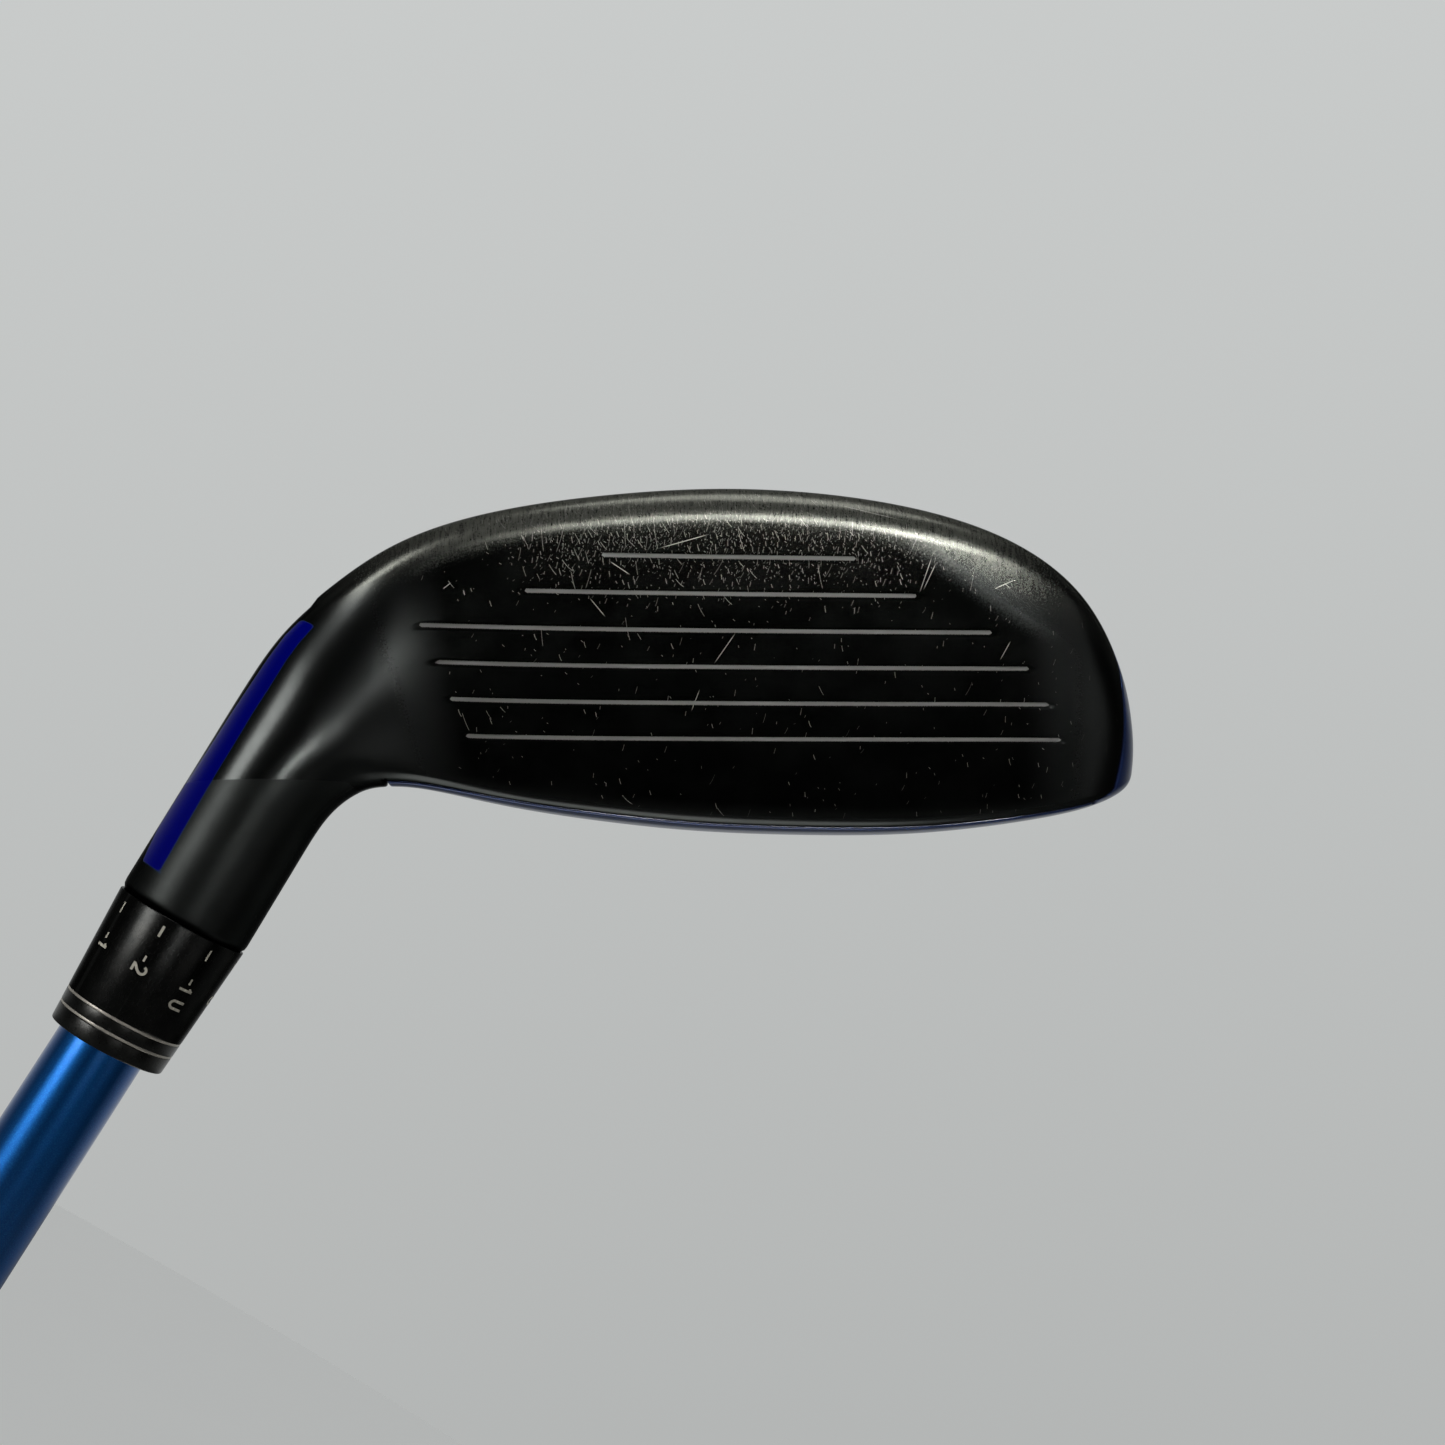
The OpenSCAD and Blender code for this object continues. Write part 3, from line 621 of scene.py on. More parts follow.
def scratches(f, where, cells, length, width, lean, wander, chance):
    """One short straight scratch in a random cell of a jittered lattice on the X-Z plane.

    In each cell the point is measured from the cell's own centre, turned by that cell's
    random angle, and marked where it lies within the scratch's length and width."""
    flat = f.node("VectorMath", {0: where, 1: (cells, 0.0, cells)}, operation="MULTIPLY")
    cell = f.node("TexVoronoi", {"Vector": flat, "Scale": 1.0, "Randomness": 1.0},
                  voronoi_dimensions="3D").node
    rel = f.node("VectorMath", {0: flat, 1: cell.outputs["Position"]}, operation="SUBTRACT")
    # Three random values of the cell: for its angle and tone, its chance and its length
    turn, draw, size = f.node("SeparateColor", {0: cell.outputs["Color"]}).node.outputs
    x, _, z = f.node("SeparateXYZ", {0: rel}).node.outputs
    angle = f.math("MULTIPLY_ADD", turn, wander, lean - wander / 2)
    c, s = f.math("COSINE", angle), f.math("SINE", angle)
    along = f.math("ADD", f.math("MULTIPLY", x, c), f.math("MULTIPLY", z, s))
    across = f.math("SUBTRACT", f.math("MULTIPLY", z, c), f.math("MULTIPLY", x, s))
    bent = f.math("MULTIPLY_ADD", f.math("MULTIPLY", along, along),
                  f.math("MULTIPLY_ADD", turn, 0.4, -0.2), across)
    half = f.math("MULTIPLY", f.math("MULTIPLY_ADD", size, 0.7, 0.3), length * cells)
    long = f.ramp(f.math("ABSOLUTE", along), half, f.math("MULTIPLY", half, 0.8))
    thin = f.ramp(f.math("ABSOLUTE", bent), width * cells, width * cells * 0.4)
    there = f.math("GREATER_THAN", chance, draw)
    tone = f.math("MULTIPLY_ADD", turn, 0.8, 0.2)
    return f.math("MULTIPLY", f.math("MULTIPLY", long, thin), f.math("MULTIPLY", there, tone))


# Four sizes of short scratch: cells to a millimetre, length, width, angle and its spread,
# chance where play is dense and where it is sparse, and strength
SHORT_MARKS = [(0.34, 2.0, 0.035, 1.5, 1.2, 0.38, 0.014, 0.55),
               (0.75, 1.0, 0.033, 1.7, 1.5, 0.66, 0.020, 0.55),
               (1.5, 0.45, 0.045, 1.45, 1.1, 0.72, 0.03, 0.5),
               (3.0, 0.17, 0.04, 1.5, 2.4, 0.50, 0.014, 0.45)]

# The few long scratches that stand out on the face: x and z of both ends in the head's frame
LONG_MARKS = [(59.5, -11.3, 62.1, -10.2),
              (60.6, -10.6, 61.4, -11.2),
              (51.4, -11.8, 52.6, -8.0),
              (51.8, -11.5, 53.1, -8.6),
              (15.7, -12.6, 17.5, -14.6),
              (17.8, -8.9, 20.1, -10.3),
              (22.9, -7.6, 28.6, -6.0),
              (29.2, -19.3, 31.6, -15.9),
              (0.3, -12.1, 1.2, -11.4),
              (26.9, -24.2, 27.8, -21.8),
              (42.2, -2.7, 49.3, -4.3),
              (60.7, -18.7, 61.8, -16.6)]


def long_mark(f, where, ends, width):
    """A straight scratch between two points of the X-Z plane, thinning towards its ends."""
    x0, z0, x1, z1 = ends
    length = math.hypot(x1 - x0, z1 - z0)
    way = ((x1 - x0) / length, 0.0, (z1 - z0) / length)
    rel = f.node("VectorMath", {0: where, 1: (x0, 0.0, z0)}, operation="SUBTRACT")
    along = f.node("VectorMath", {0: rel, 1: way}, output="Value", operation="DOT_PRODUCT")
    off = f.node("VectorMath", {0: rel, 1: (way[2], 0.0, -way[0])}, output="Value",
                 operation="DOT_PRODUCT")
    middle = f.math("ABSOLUTE", f.math("SUBTRACT", along, length / 2))
    taper = f.ramp(middle, length / 2, length / 4)
    return f.math("MULTIPLY", f.ramp(f.math("ABSOLUTE", off), width, width * 0.3), taper)


def head_finish():
    """Black plated steel: matte on the face, satin on the hosel, worn at the leading edge,
    with paint in the score lines, a painted band on the hosel, and play marks."""
    f = Finish("black_plate", Specular_IOR_Level=0.06, Specular_Tint=(0.3, 0.3, 0.3))
    at = f.mark("head_at", "Vector")
    x, _, z = f.node("SeparateXYZ", {0: at}).node.outputs
    round_at, run_at = f.mark("round_at"), f.mark("run_at")
    cloud = f.noise(at, 0.22, 3.0)
    fine = f.noise(at, 5.0, 5.0, 0.65)
    grain = f.noise(at, 14.0, 3.0, 0.6)
    brush = f.noise(f.spread(at, (0.9, 0.9, 7.0)), 1.6, 4.0)
    # Towards the toe and the heel the rounds start nearer the middle of the face
    inward = f.math("MULTIPLY_ADD", f.ramp(run_at, 11.2, 13.4), 0.26,
                    f.math("MULTIPLY", f.ramp(run_at, 8.4, 6.2), 0.12))
    chipped = f.math("MULTIPLY_ADD", f.math("SUBTRACT", fine, 0.5), 0.16, round_at)
    outer = f.math("ADD", chipped, inward)
    worn_at = f.math("MULTIPLY_ADD", inward, 0.45, chipped)
    front = f.math("MULTIPLY", f.ramp(round_at, -0.10, 0.05), f.ramp(outer, 1.12, 0.98))
    # The flat of the face is matte and near black; the rounds about it are satin
    flat = f.math("MULTIPLY", f.math("MULTIPLY", front, f.ramp(run_at, 6.0, 7.4)),
                  f.ramp(run_at, 14.2, 13.0))
    masked = f.math("MAXIMUM", f.ramp(z, -32.3, -32.15), f.ramp(run_at, 3.9, 4.1))
    neck = f.math("SUBTRACT", 1.0, masked)
    base = f.mix(flat, (0.024, 0.0255, 0.0245), (0.0006, 0.0007, 0.0006))
    base = f.mix(neck, base, (0.020, 0.0215, 0.0205))
    base = f.mix(f.math("MULTIPLY", f.ramp(cloud, 0.35, 0.75), 0.25), base, (0.006, 0.0065, 0.006))
    # Worn leading edge
    edge = f.math("MULTIPLY", f.ramp(worn_at, 0.96, 1.12), f.ramp(round_at, 3.4, 2.2))
    edge = f.math("MULTIPLY", edge, f.ramp(run_at, 5.2, 7.8))
    edge = f.math("MULTIPLY", edge, f.ramp(run_at, 14.0, 12.4, 0.25, 1.0))
    streaky = f.noise(f.spread(at, (4.0, 0.7, 0.7)), 1.2, 4.0, 0.7)
    worn = f.math("MULTIPLY", edge, f.ramp(grain, 0.25, 0.75, 0.6, 1.0))
    worn = f.math("MULTIPLY", worn, f.ramp(streaky, 0.32, 0.62, 0.5, 1.0))
    base = f.mix(worn, base, (0.105, 0.107, 0.091))
    # Play marks: dense near the sole between heel and toe, sparse elsewhere
    middle = f.math("MULTIPLY", f.ramp(x, 2.0, 16.0), f.ramp(x, 58.0, 46.0))
    low = f.ramp(z, -15.0, -4.5)
    on_front = f.math("MULTIPLY", f.ramp(round_at, -0.12, 0.02), f.ramp(round_at, 1.9, 1.3))
    sparse = f.math("MULTIPLY", on_front, f.ramp(run_at, 6.6, 7.6))
    dense = f.math("MULTIPLY", f.math("MULTIPLY", middle, low), sparse)
    patchy = f.math("MULTIPLY", dense, f.ramp(cloud, 0.35, 0.6, 0.45, 1.0))
    marks = None
    for cells, length, width, lean, wander, most, least, strength in SHORT_MARKS:
        chance = f.math("MULTIPLY_ADD", patchy, most, f.math("MULTIPLY", sparse, least))
        one = scratches(f, at, cells, length, width, lean, wander, chance)
        one = f.math("MULTIPLY", one, strength)
        marks = one if marks is None else f.math("MAXIMUM", marks, one)
    marks = f.math("MULTIPLY", marks, f.ramp(fine, 0.3, 0.6, 0.4, 1.0))
    for ends in LONG_MARKS:
        marks = f.math("MAXIMUM", marks, f.math("MULTIPLY", long_mark(f, at, ends, 0.055),
                                                 f.math("MULTIPLY", sparse, 0.7)))
    base = f.mix(marks, base, (0.34, 0.33, 0.30))
    dust = f.math("MULTIPLY", f.ramp(f.noise(at, 7.0, 3.0), 0.5, 0.72),
                  f.math("MULTIPLY", dense, 0.16))
    base = f.mix(dust, base, (0.06, 0.058, 0.045))
    # Paint in the score lines
    gap = f.mark("line_gap")
    ragged = f.math("MULTIPLY_ADD", f.math("SUBTRACT", grain, 0.5), 0.14, gap)
    paint = f.math("MULTIPLY", f.ramp(ragged, 0.25, 0.16), f.ramp(fine, 0.22, 0.42, 0.7, 1.0))
    base = f.mix(paint, base, (0.145, 0.145, 0.138))
    # The painted band
    inside = f.mark("stripe_in")
    band = f.ramp(inside, -0.02, 0.06)
    rim = f.math("MULTIPLY", f.ramp(inside, -0.14, 0.0), f.ramp(inside, 0.12, 0.02))
    base = f.mix(band, base, (0.0, 0.0006, 0.105))
    base = f.mix(f.math("MULTIPLY", rim, 0.5), base, (0.02, 0.035, 0.06))
    # Painted shade: near black where the surface is drawn in at the crown's seams and the hosel's
    # mouth
    base = f.mix(f.ramp(f.mark("lip_deep"), 0.012, 0.07), base, (0.0015, 0.0015, 0.0015))
    pigment = f.math("MAXIMUM", paint, band)
    pigment = f.math("MAXIMUM", pigment, f.math("MULTIPLY", marks, 0.7))
    pigment = f.math("MAXIMUM", pigment, f.math("MULTIPLY", worn, 0.35))
    # Bare plate mirrors like metal, and paint and bright marks scatter the light
    metal = f.math("SUBTRACT", 0.96, f.math("MULTIPLY", pigment, 0.96))
    rough = f.math("MULTIPLY_ADD", neck, 0.17, 0.23)
    rough = f.math("MULTIPLY_ADD", flat, 0.20, rough)
    rough = f.math("MULTIPLY_ADD", worn, 0.10, rough)
    rough = f.math("MULTIPLY_ADD", f.math("SUBTRACT", fine, 0.5), 0.14, rough)
    height = f.math("MULTIPLY_ADD", brush, 0.6, f.math("MULTIPLY", fine, 0.5))
    height = f.math("MULTIPLY_ADD", marks, -1.2, height)
    bump = f.bump(height, 0.4, 0.00002)
    return f.finish(Base_Color=base, Roughness=rough, Normal=bump, Metallic=metal)


def crown_finish():
    """Deep metallic blue lacquer under a clear coat, with flake and faint orange peel."""
    f = Finish("crown_lacquer", Metallic=0.5, Coat_Weight=0.35, Coat_Roughness=0.08,
               Specular_IOR_Level=0.2)
    at = f.place()
    flake = f.noise(at, 9000.0, 2.0)
    peel = f.noise(at, 900.0, 2.0)
    cloud = f.noise(at, 60.0, 3.0)
    base = f.mix(f.ramp(flake, 0.45, 0.7), (0.003, 0.013, 0.060), (0.006, 0.025, 0.105))
    base = f.mix(f.math("MULTIPLY", cloud, 0.3), base, (0.003, 0.009, 0.045))
    # Painted shade: near black where the crown dips into its seams
    base = f.mix(f.ramp(f.mark("lip_deep"), 0.02, 0.25), base, (0.003, 0.004, 0.01))
    rough = f.math("MULTIPLY_ADD", flake, 0.15, 0.28)
    return f.finish(Base_Color=base, Roughness=rough, Normal=f.bump(peel, 0.12, 0.00002))


def plain_finish(name, colour, other, rough, scale=300.0, grain=(1, 1, 1), bump=0.2,
                 depth=0.00003, **sockets):
    """A finish of two close colours in clouds, with paler worn edges, and with grain in its
    roughness and bump."""
    f = Finish(name, **sockets)
    at = f.place()
    cloud = f.noise(at, scale, 4.0)
    fine = f.noise(f.spread(at, grain), scale * 8, 5.0, 0.6)
    base = f.mix(f.ramp(cloud, 0.3, 0.7), colour, other)
    wear = f.node("NewGeometry", output="Pointiness")
    base = f.mix(f.math("MULTIPLY", f.ramp(wear, 0.53, 0.62), 0.35), base,
                 tuple(min(1.0, c * 2.2 + 0.02) for c in other))
    roughness = f.math("MULTIPLY_ADD", f.math("SUBTRACT", fine, 0.5), 0.16, rough)
    return f.finish(Base_Color=base, Roughness=roughness, Normal=f.bump(fine, bump, depth))


def shaft_finish():
    """Blue candy lacquer over a bright base: fine flake, long polishing lines, clear coat."""
    f = Finish("shaft_lacquer", Metallic=0.9, Coat_Weight=0.7, Coat_Roughness=0.12,
               Specular_IOR_Level=0.5)
    at = f.place()
    flake = f.noise(at, 8000.0, 2.0)
    streak = f.noise(f.spread(at, (1, 1, 0.03)), 1500.0, 3.0)
    cloud = f.noise(at, 30.0, 3.0)
    base = f.mix(f.ramp(flake, 0.4, 0.75), (0.004, 0.085, 0.31), (0.010, 0.14, 0.42))
    base = f.mix(f.math("MULTIPLY", cloud, 0.35), base, (0.002, 0.05, 0.24))
    rough = f.math("MULTIPLY_ADD", streak, 0.12, 0.26)
    return f.finish(Base_Color=base, Roughness=rough, Normal=f.bump(streak, 0.08, 0.00001))


BLACK_PLATE, CROWN, SHAFT = head_finish(), crown_finish(), shaft_finish()
SLEEVE = plain_finish("sleeve_anodised", (0.013, 0.0135, 0.0130), (0.019, 0.019, 0.018), 0.26,
                      500.0, (1, 1, 0.5), bump=0.08, Metallic=0.97, Specular_IOR_Level=0.3,
                      Specular_Tint=(0.4, 0.4, 0.4))
FERRULE = plain_finish("ferrule_black", (0.022, 0.022, 0.021), (0.030, 0.030, 0.028), 0.29, 400.0,
                       Metallic=0.96)
RING = plain_finish("ring_silver", (0.33, 0.31, 0.27), (0.42, 0.39, 0.34), 0.38, 600.0,
                    Metallic=0.6)
PRINT = plain_finish("setting_print", (0.33, 0.31, 0.26), (0.40, 0.38, 0.31), 0.6, 900.0)
RUBBER = plain_finish("grip_rubber", (0.012, 0.012, 0.013), (0.020, 0.020, 0.021), 0.78, 400.0,
                      bump=0.5, depth=0.0001)
STEEL = plain_finish("machined_steel", (0.42, 0.42, 0.43), (0.52, 0.52, 0.53), 0.34, 350.0,
                     (1, 1, 0.1), Metallic=1.0)
OXIDE = plain_finish("black_oxide", (0.02, 0.02, 0.021), (0.035, 0.034, 0.034), 0.42, 500.0,
                     Metallic=0.8)
BRASS = plain_finish("turned_brass", (0.45, 0.30, 0.10), (0.55, 0.38, 0.14), 0.35, 400.0,
                     Metallic=1.0)
NYLON = plain_finish("natural_nylon", (0.62, 0.58, 0.46), (0.70, 0.66, 0.55), 0.5, 300.0,
                     Subsurface_Weight=0.1)
TAPE = plain_finish("woven_tape", (0.5, 0.47, 0.38), (0.62, 0.58, 0.48), 0.85, 800.0, bump=0.6,
                    depth=0.0001)
GLUE = plain_finish("hot_melt", (0.42, 0.26, 0.06), (0.52, 0.34, 0.10), 0.4, 200.0,
                    Subsurface_Weight=0.2)
# Inner parts keep their own mesh and get a material only
for node_name, material in {
        "thread_insert": STEEL, "spline_ring": STEEL, "screw_washer": STEEL, "tip_weight": BRASS,
        "screw_retainer": NYLON, "grip_tape": TAPE, "damping_pad": GLUE,
        "weight_seal": RUBBER}.items():
    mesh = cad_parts[node_name].data
    mesh.materials.clear()
    mesh.materials.append(material)

# ---- Head -----------------------------------------------------------------------------

crown_part, body_part = head_pieces()
pts, faces, marks = compact(*body_part)
piece("head_skin", from_head(pts), faces, "head", BLACK_PLATE,
      replaces=("head_body", "face_cup"), marks=marks, sharp=60)
pts, faces, marks = compact(*crown_part)
piece("crown_skin", from_head(pts), faces, "head", CROWN,
      replaces=("crown_shell",), marks={"lip_deep": marks["lip_deep"]}, sharp=60)

# The hosel's inside, from its mouth past the screw's ledge to the port in the sole
mouth_v, shank_hole_r = COLLAR_V + 0.02, 2.8
bore = bevelled([(HOSEL_R - 0.37, mouth_v), (BORE_R, mouth_v), (BORE_R, BORE_END_V),
                 (shank_hole_r, BORE_END_V), (shank_hole_r, LEDGE_V), (POCKET_R, LEDGE_V),
                 (POCKET_R, PORT_V), (PORT_R, PORT_V)])
pts, faces = lathe(bore, from_hosel)
piece("hosel_bore", pts, [f[::-1] for f in faces], "head", SLEEVE)

# ---- Sleeve, ferrule and setting marks ------------------------------------------------

# Radius of the ferrule's end and of its bore, of the splines and of the slots between them,
# and of the threaded insert's pocket, which ends at POCKET_END_V
END_R, INNER_R, SPLINE_R, SLOT_R, INSERT_R, POCKET_END_V = 6.3, 4.5, 4.75, 4.2, 3.62, 33.7
# Ferrule along the axis: its end piece, the two rings and the band between them
RING_UPPER_V, RING_LOWER_V, RING_T = 1.8, 3.3, 0.3
SLEEVE_V = RING_LOWER_V + RING_T


def collar_r(v):
    """Radius of the tapered sleeve and ferrule at v from the ferrule's end."""
    return END_R + (HOSEL_R - END_R) * np.minimum(1, v / COLLAR_V)


def corner(v, under=0.0):
    """The profile's point on the collar at v, or a little under its surface."""
    return float(collar_r(v)) - under


def sleeve_grid():
    """The sleeve's outside: a lathed profile whose nose dips into eight spline slots."""
    shank_r = BORE_R - 0.05
    profile = bevelled([(5.2, SLEEVE_V), (corner(SLEEVE_V), SLEEVE_V), (HOSEL_R, COLLAR_V),
                        (shank_r, COLLAR_V), (shank_r, NOSE_V - 0.5), (shank_r - 0.5, NOSE_V),
                        (SPLINE_R, NOSE_V + 0.02), (SPLINE_R, NOSE_END_V - 0.4),
                        (SPLINE_R - 0.4, NOSE_END_V), (INSERT_R, NOSE_END_V),
                        (INSERT_R, POCKET_END_V), (2.0, POCKET_END_V)], 0.12)
    g = angles(256)
    r, h = profile[:, :1], profile[:, 1:]
    pitch, slot_half, slot_wall = np.pi / 4, 0.88, 0.16
    turn = (g / pitch) % 1
    off = np.minimum(turn, 1 - turn) * pitch * SPLINE_R
    slot = np.clip((slot_half - off) / slot_wall, 0, 1)[None] * ((h > NOSE_V) & (r > SLOT_R))
    points = about_z(r - (r - SLOT_R) * slot, h, g)
    return from_hosel(points), ring_faces(len(profile), len(g))


pts, faces = sleeve_grid()
piece("sleeve_skin", pts, faces, "shaft_group", SLEEVE,
      replaces=("adapter_sleeve",), sharp=40)


def ferrule_part(name, corners, material, node, bevel=0.06):
    """A turned slice of the ferrule, from its outer profile in to the shaft."""
    pts, faces = lathe(bevelled(corners, bevel), from_hosel, 192)
    piece(name, pts, faces, "shaft_group", material, replaces=(node,), sharp=40)


ferrule_part("ferrule_collar", [(INNER_R, 0), (END_R, 0), (corner(RING_UPPER_V), RING_UPPER_V),
                                (INNER_R, RING_UPPER_V)],
             FERRULE, "ferrule_end", 0.14)
for label, v in (("upper", RING_UPPER_V), ("lower", RING_LOWER_V)):
    ferrule_part("ring_" + label, [(INNER_R, v), (corner(v, 0.01), v + 0.02),
                                   (corner(v + RING_T, 0.01), v + RING_T - 0.02),
                                   (INNER_R, v + RING_T)],
                 RING, "ferrule_ring_" + label, 0.03)
band_v = RING_UPPER_V + RING_T
ferrule_part("ferrule_band", [(INNER_R, band_v), (corner(band_v), band_v),
                              (corner(RING_LOWER_V), RING_LOWER_V), (INNER_R, RING_LOWER_V)],
             FERRULE, "ferrule_spacer", 0.03)


def arc_path(centre, size, start, end, n=14):
    """Points of an ellipse's arc between two angles in degrees."""
    g = np.radians(np.linspace(start, end, n))
    return np.stack([centre[0] + size[0] * np.cos(g), centre[1] + size[1] * np.sin(g)], 1)


# Each glyph: how far it advances, and its strokes in a box 1 wide and 1.5 high, with x along
# the reading direction and y up
GLYPHS = {
    "-": (0.75, [np.array([[0.05, 0.72], [0.65, 0.72]])]),
    "+": (0.85, [np.array([[0.05, 0.72], [0.75, 0.72]]), np.array([[0.4, 0.37], [0.4, 1.07]])]),
    "1": (0.75, [np.array([[0.12, 1.12], [0.27, 1.2], [0.42, 1.38]]),
                 np.array([[0.42, 1.5], [0.42, 0.0]])]),
    "2": (1.0, [np.vstack([arc_path((0.45, 1.05), (0.37, 0.40), 165, -25),
                           [[0.62, 0.62], [0.3, 0.32], [0.08, 0.1]]]),
                np.array([[0.02, 0.08], [0.86, 0.08]])]),
    "U": (1.05, [np.vstack([[[0.1, 1.5], [0.1, 0.9]],
                            arc_path((0.48, 0.48), (0.38, 0.42), 180, 360),
                            [[0.86, 0.9], [0.86, 1.5]]])]),
    "0": (1.0, [arc_path((0.45, 0.75), (0.36, 0.68), 90, 450, 30)])}
# The label of each setting, by its angle round the sleeve from the face's side
SETTINGS = {-45: "-1", 0: "-2", 45: "-1U", 90: "U", 135: "+1U", 180: "+2", -135: "+1", -90: "0"}
# Where the glyphs of a label of one, two and three start along the sleeve
STARTS = {1: (9.5,), 2: (10.5, 9.45), 3: (10.5, 9.6, 7.9)}


def stroke(path, width, lift=0.022):
    """A raised stroke: a flat rectangle carried along a path on the sleeve's cone.

    path is (arc length round the sleeve, v), and an arc length over the cone's radius is
    the angle round it; the rectangle stands on the cone and its foot lies just inside."""
    along = np.gradient(path, axis=0)
    along /= np.linalg.norm(along, axis=1)[:, None]
    side = np.stack([-along[:, 1], along[:, 0]], 1) * width / 2
    foot = -0.01
    rings = []
    for way, high in ((-1, foot), (-1, lift), (1, lift), (1, foot)):
        arc, v = (path + way * side).T
        rings.append(about_z(collar_r(v) + high, v, arc / collar_r(v) - np.pi / 2))
    n = 4 * len(path)
    faces = ring_faces(len(path), 4) + [[0, 1, 2, 3], [n - 1, n - 2, n - 3, n - 4]]
    return np.stack(rings, 1).reshape(-1, 3), faces


def resampled(path, gap=0.12):
    """The same path with points close enough together to bend round the sleeve."""
    path = np.asarray(path, float)
    out = [path[:1]]
    for a, b in zip(path[:-1], path[1:]):
        n = max(1, int(np.ceil(np.linalg.norm(b - a) / gap)))
        out.append(a + (b - a) * np.linspace(0, 1, n + 1)[1:, None])
    return np.vstack(out)


def setting_marks():
    """A tick and a label for each of the sleeve's eight settings."""
    points, faces = [], []

    def add(path, width):
        stroke_points, stroke_faces = stroke(resampled(path), width)
        base = sum(len(before) for before in points)
        points.append(stroke_points)
        faces.extend([[base + corner for corner in face] for face in stroke_faces])
    scale, tick_start, tick_end = 1.06, 13.9, 12.7
    tick_r = float(collar_r((tick_start + tick_end) / 2))
    for angle, text in SETTINGS.items():
        arc = math.radians(angle)
        add([[arc * tick_r, tick_start], [arc * tick_r, tick_end]],
            0.28 if text == "-2" else 0.2)
        for glyph, v in zip(text, STARTS[len(text)]):
            advance, strokes = GLYPHS[glyph]
            for path in strokes:
                r = float(collar_r(v - advance / 2))
                placed = np.stack([arc * r + (path[:, 1] - 0.75) * scale,
                                   v - path[:, 0] * scale], 1)
                add(placed, 0.22 if glyph in "-+" else 0.27)
    return np.vstack(points), faces


pts, faces = setting_marks()
piece("setting_marks", from_hosel(pts), faces, "shaft_group", PRINT, sharp=30)

# ---- Shaft and grip -------------------------------------------------------------------


def shaft_r(z):
    """Radius of the shaft: an even taper from the butt to the even tip."""
    fall = (BUTT_R - TIP_R) * (z - CAP_T) / (TAPER_Z - CAP_T)
    return np.where(z > TAPER_Z, TIP_R, BUTT_R - fall)


heights = np.concatenate([np.linspace(CAP_T, TAPER_Z, 60), np.linspace(TAPER_Z, TIP_Z, 12)[1:]])
pts, faces = lathe(np.stack([shaft_r(heights), heights], 1), from_shaft, 192, capped=True)
piece("shaft_skin", pts, faces, "shaft_group", SHAFT, replaces=("shaft",))


def grip_grid():
    """The grip: a hollow taper with a moulded relief of two crossing helices and end bands.

    The radius falls as 1.25 f - 0.25 f^2 along the length, less the depth of the relief
    where a helix, sin(14 g + 1.15 z) or its mirror, stands above its threshold."""
    rings, fall, turns, twist, threshold = 460, 3.3, 14, 1.15, 0.72
    z = np.linspace(CAP_T, GRIP_L, rings)
    g = angles(168)
    f = (z - CAP_T) / (GRIP_L - CAP_T)
    r = GRIP_R - fall * (1.25 * f - 0.25 * f * f)
    r = r + 0.4 * smooth(1 - abs(z - (GRIP_L - 3.2)) / 2.2)
    one = np.sin(g[None] * turns + z[:, None] * twist)
    two = np.sin(g[None] * turns - z[:, None] * twist)
    cut = np.clip((np.maximum(one, two) - threshold) / (1 - threshold), 0, 1)
    # The relief leaves the ends and a plain ring in the middle free
    zone = np.clip((z - 18) / 4, 0, 1) * np.clip((232 - z) / 4, 0, 1)
    zone *= 1 - 0.999 * np.clip(1 - abs(z - 128) / 10, 0, 1) ** 0.3
    band = sum(np.clip(1 - abs(z - at) / 0.7, 0, 1) for at in (14, 238, 242, 246, 118, 138))
    outside = about_z(r[:, None] - 0.3 * cut * zone[:, None] - 0.35 * band[:, None],
                      z[:, None], g)
    inner_r = float(shaft_r(np.array(GRIP_L))) + 0.3
    points = np.concatenate([about_z(BUTT_R + 0.3, CAP_T, g)[None], outside,
                             about_z(inner_r, GRIP_L, g)[None]])
    return from_shaft(points), ring_faces(rings + 2, len(g))


pts, faces = grip_grid()
piece("grip_skin", pts, faces, "shaft_group", RUBBER,
      replaces=("grip",), sharp=50)
cap = bevelled([(VENT_R, CAP_T), (VENT_R, 0), (GRIP_R, 0), (GRIP_R, CAP_T), (VENT_R, CAP_T)],
               1.2, 6)
pts, faces = lathe(cap, from_shaft, 144)
piece("cap_skin", pts, faces, "shaft_group", RUBBER,
      replaces=("grip_cap",), sharp=40)

# ---- Screw and sole weight ------------------------------------------------------------


def socket_head(outer, lobes, top, floor, low, place, around=192):
    """A turned screw head with a six-lobed socket: the outer profile, then rings whose
    radius swells and dips six times round, down to the socket's floor."""
    g = angles(around)
    wave = low + (lobes - low) * (0.5 + 0.5 * np.cos(6 * g)) ** 0.8
    rings = [about_z(r, h, g) for r, h in outer]
    rings += [about_z(wave + wider, h, g) for wider, h in (
        (0.18, top), (0.03, top - 0.12), (0.0, top - 0.3), (0.0, floor + 0.1), (-0.12, floor))]
    points = np.stack(rings).reshape(-1, 3)
    n = len(points)
    points = np.vstack([points, [0, 0, floor], [0, 0, outer[0][1]]])
    faces = ring_faces(len(rings), around) + fan(n - around, around, n)
    return place(points), faces + fan(0, around, n + 1, flip=True)


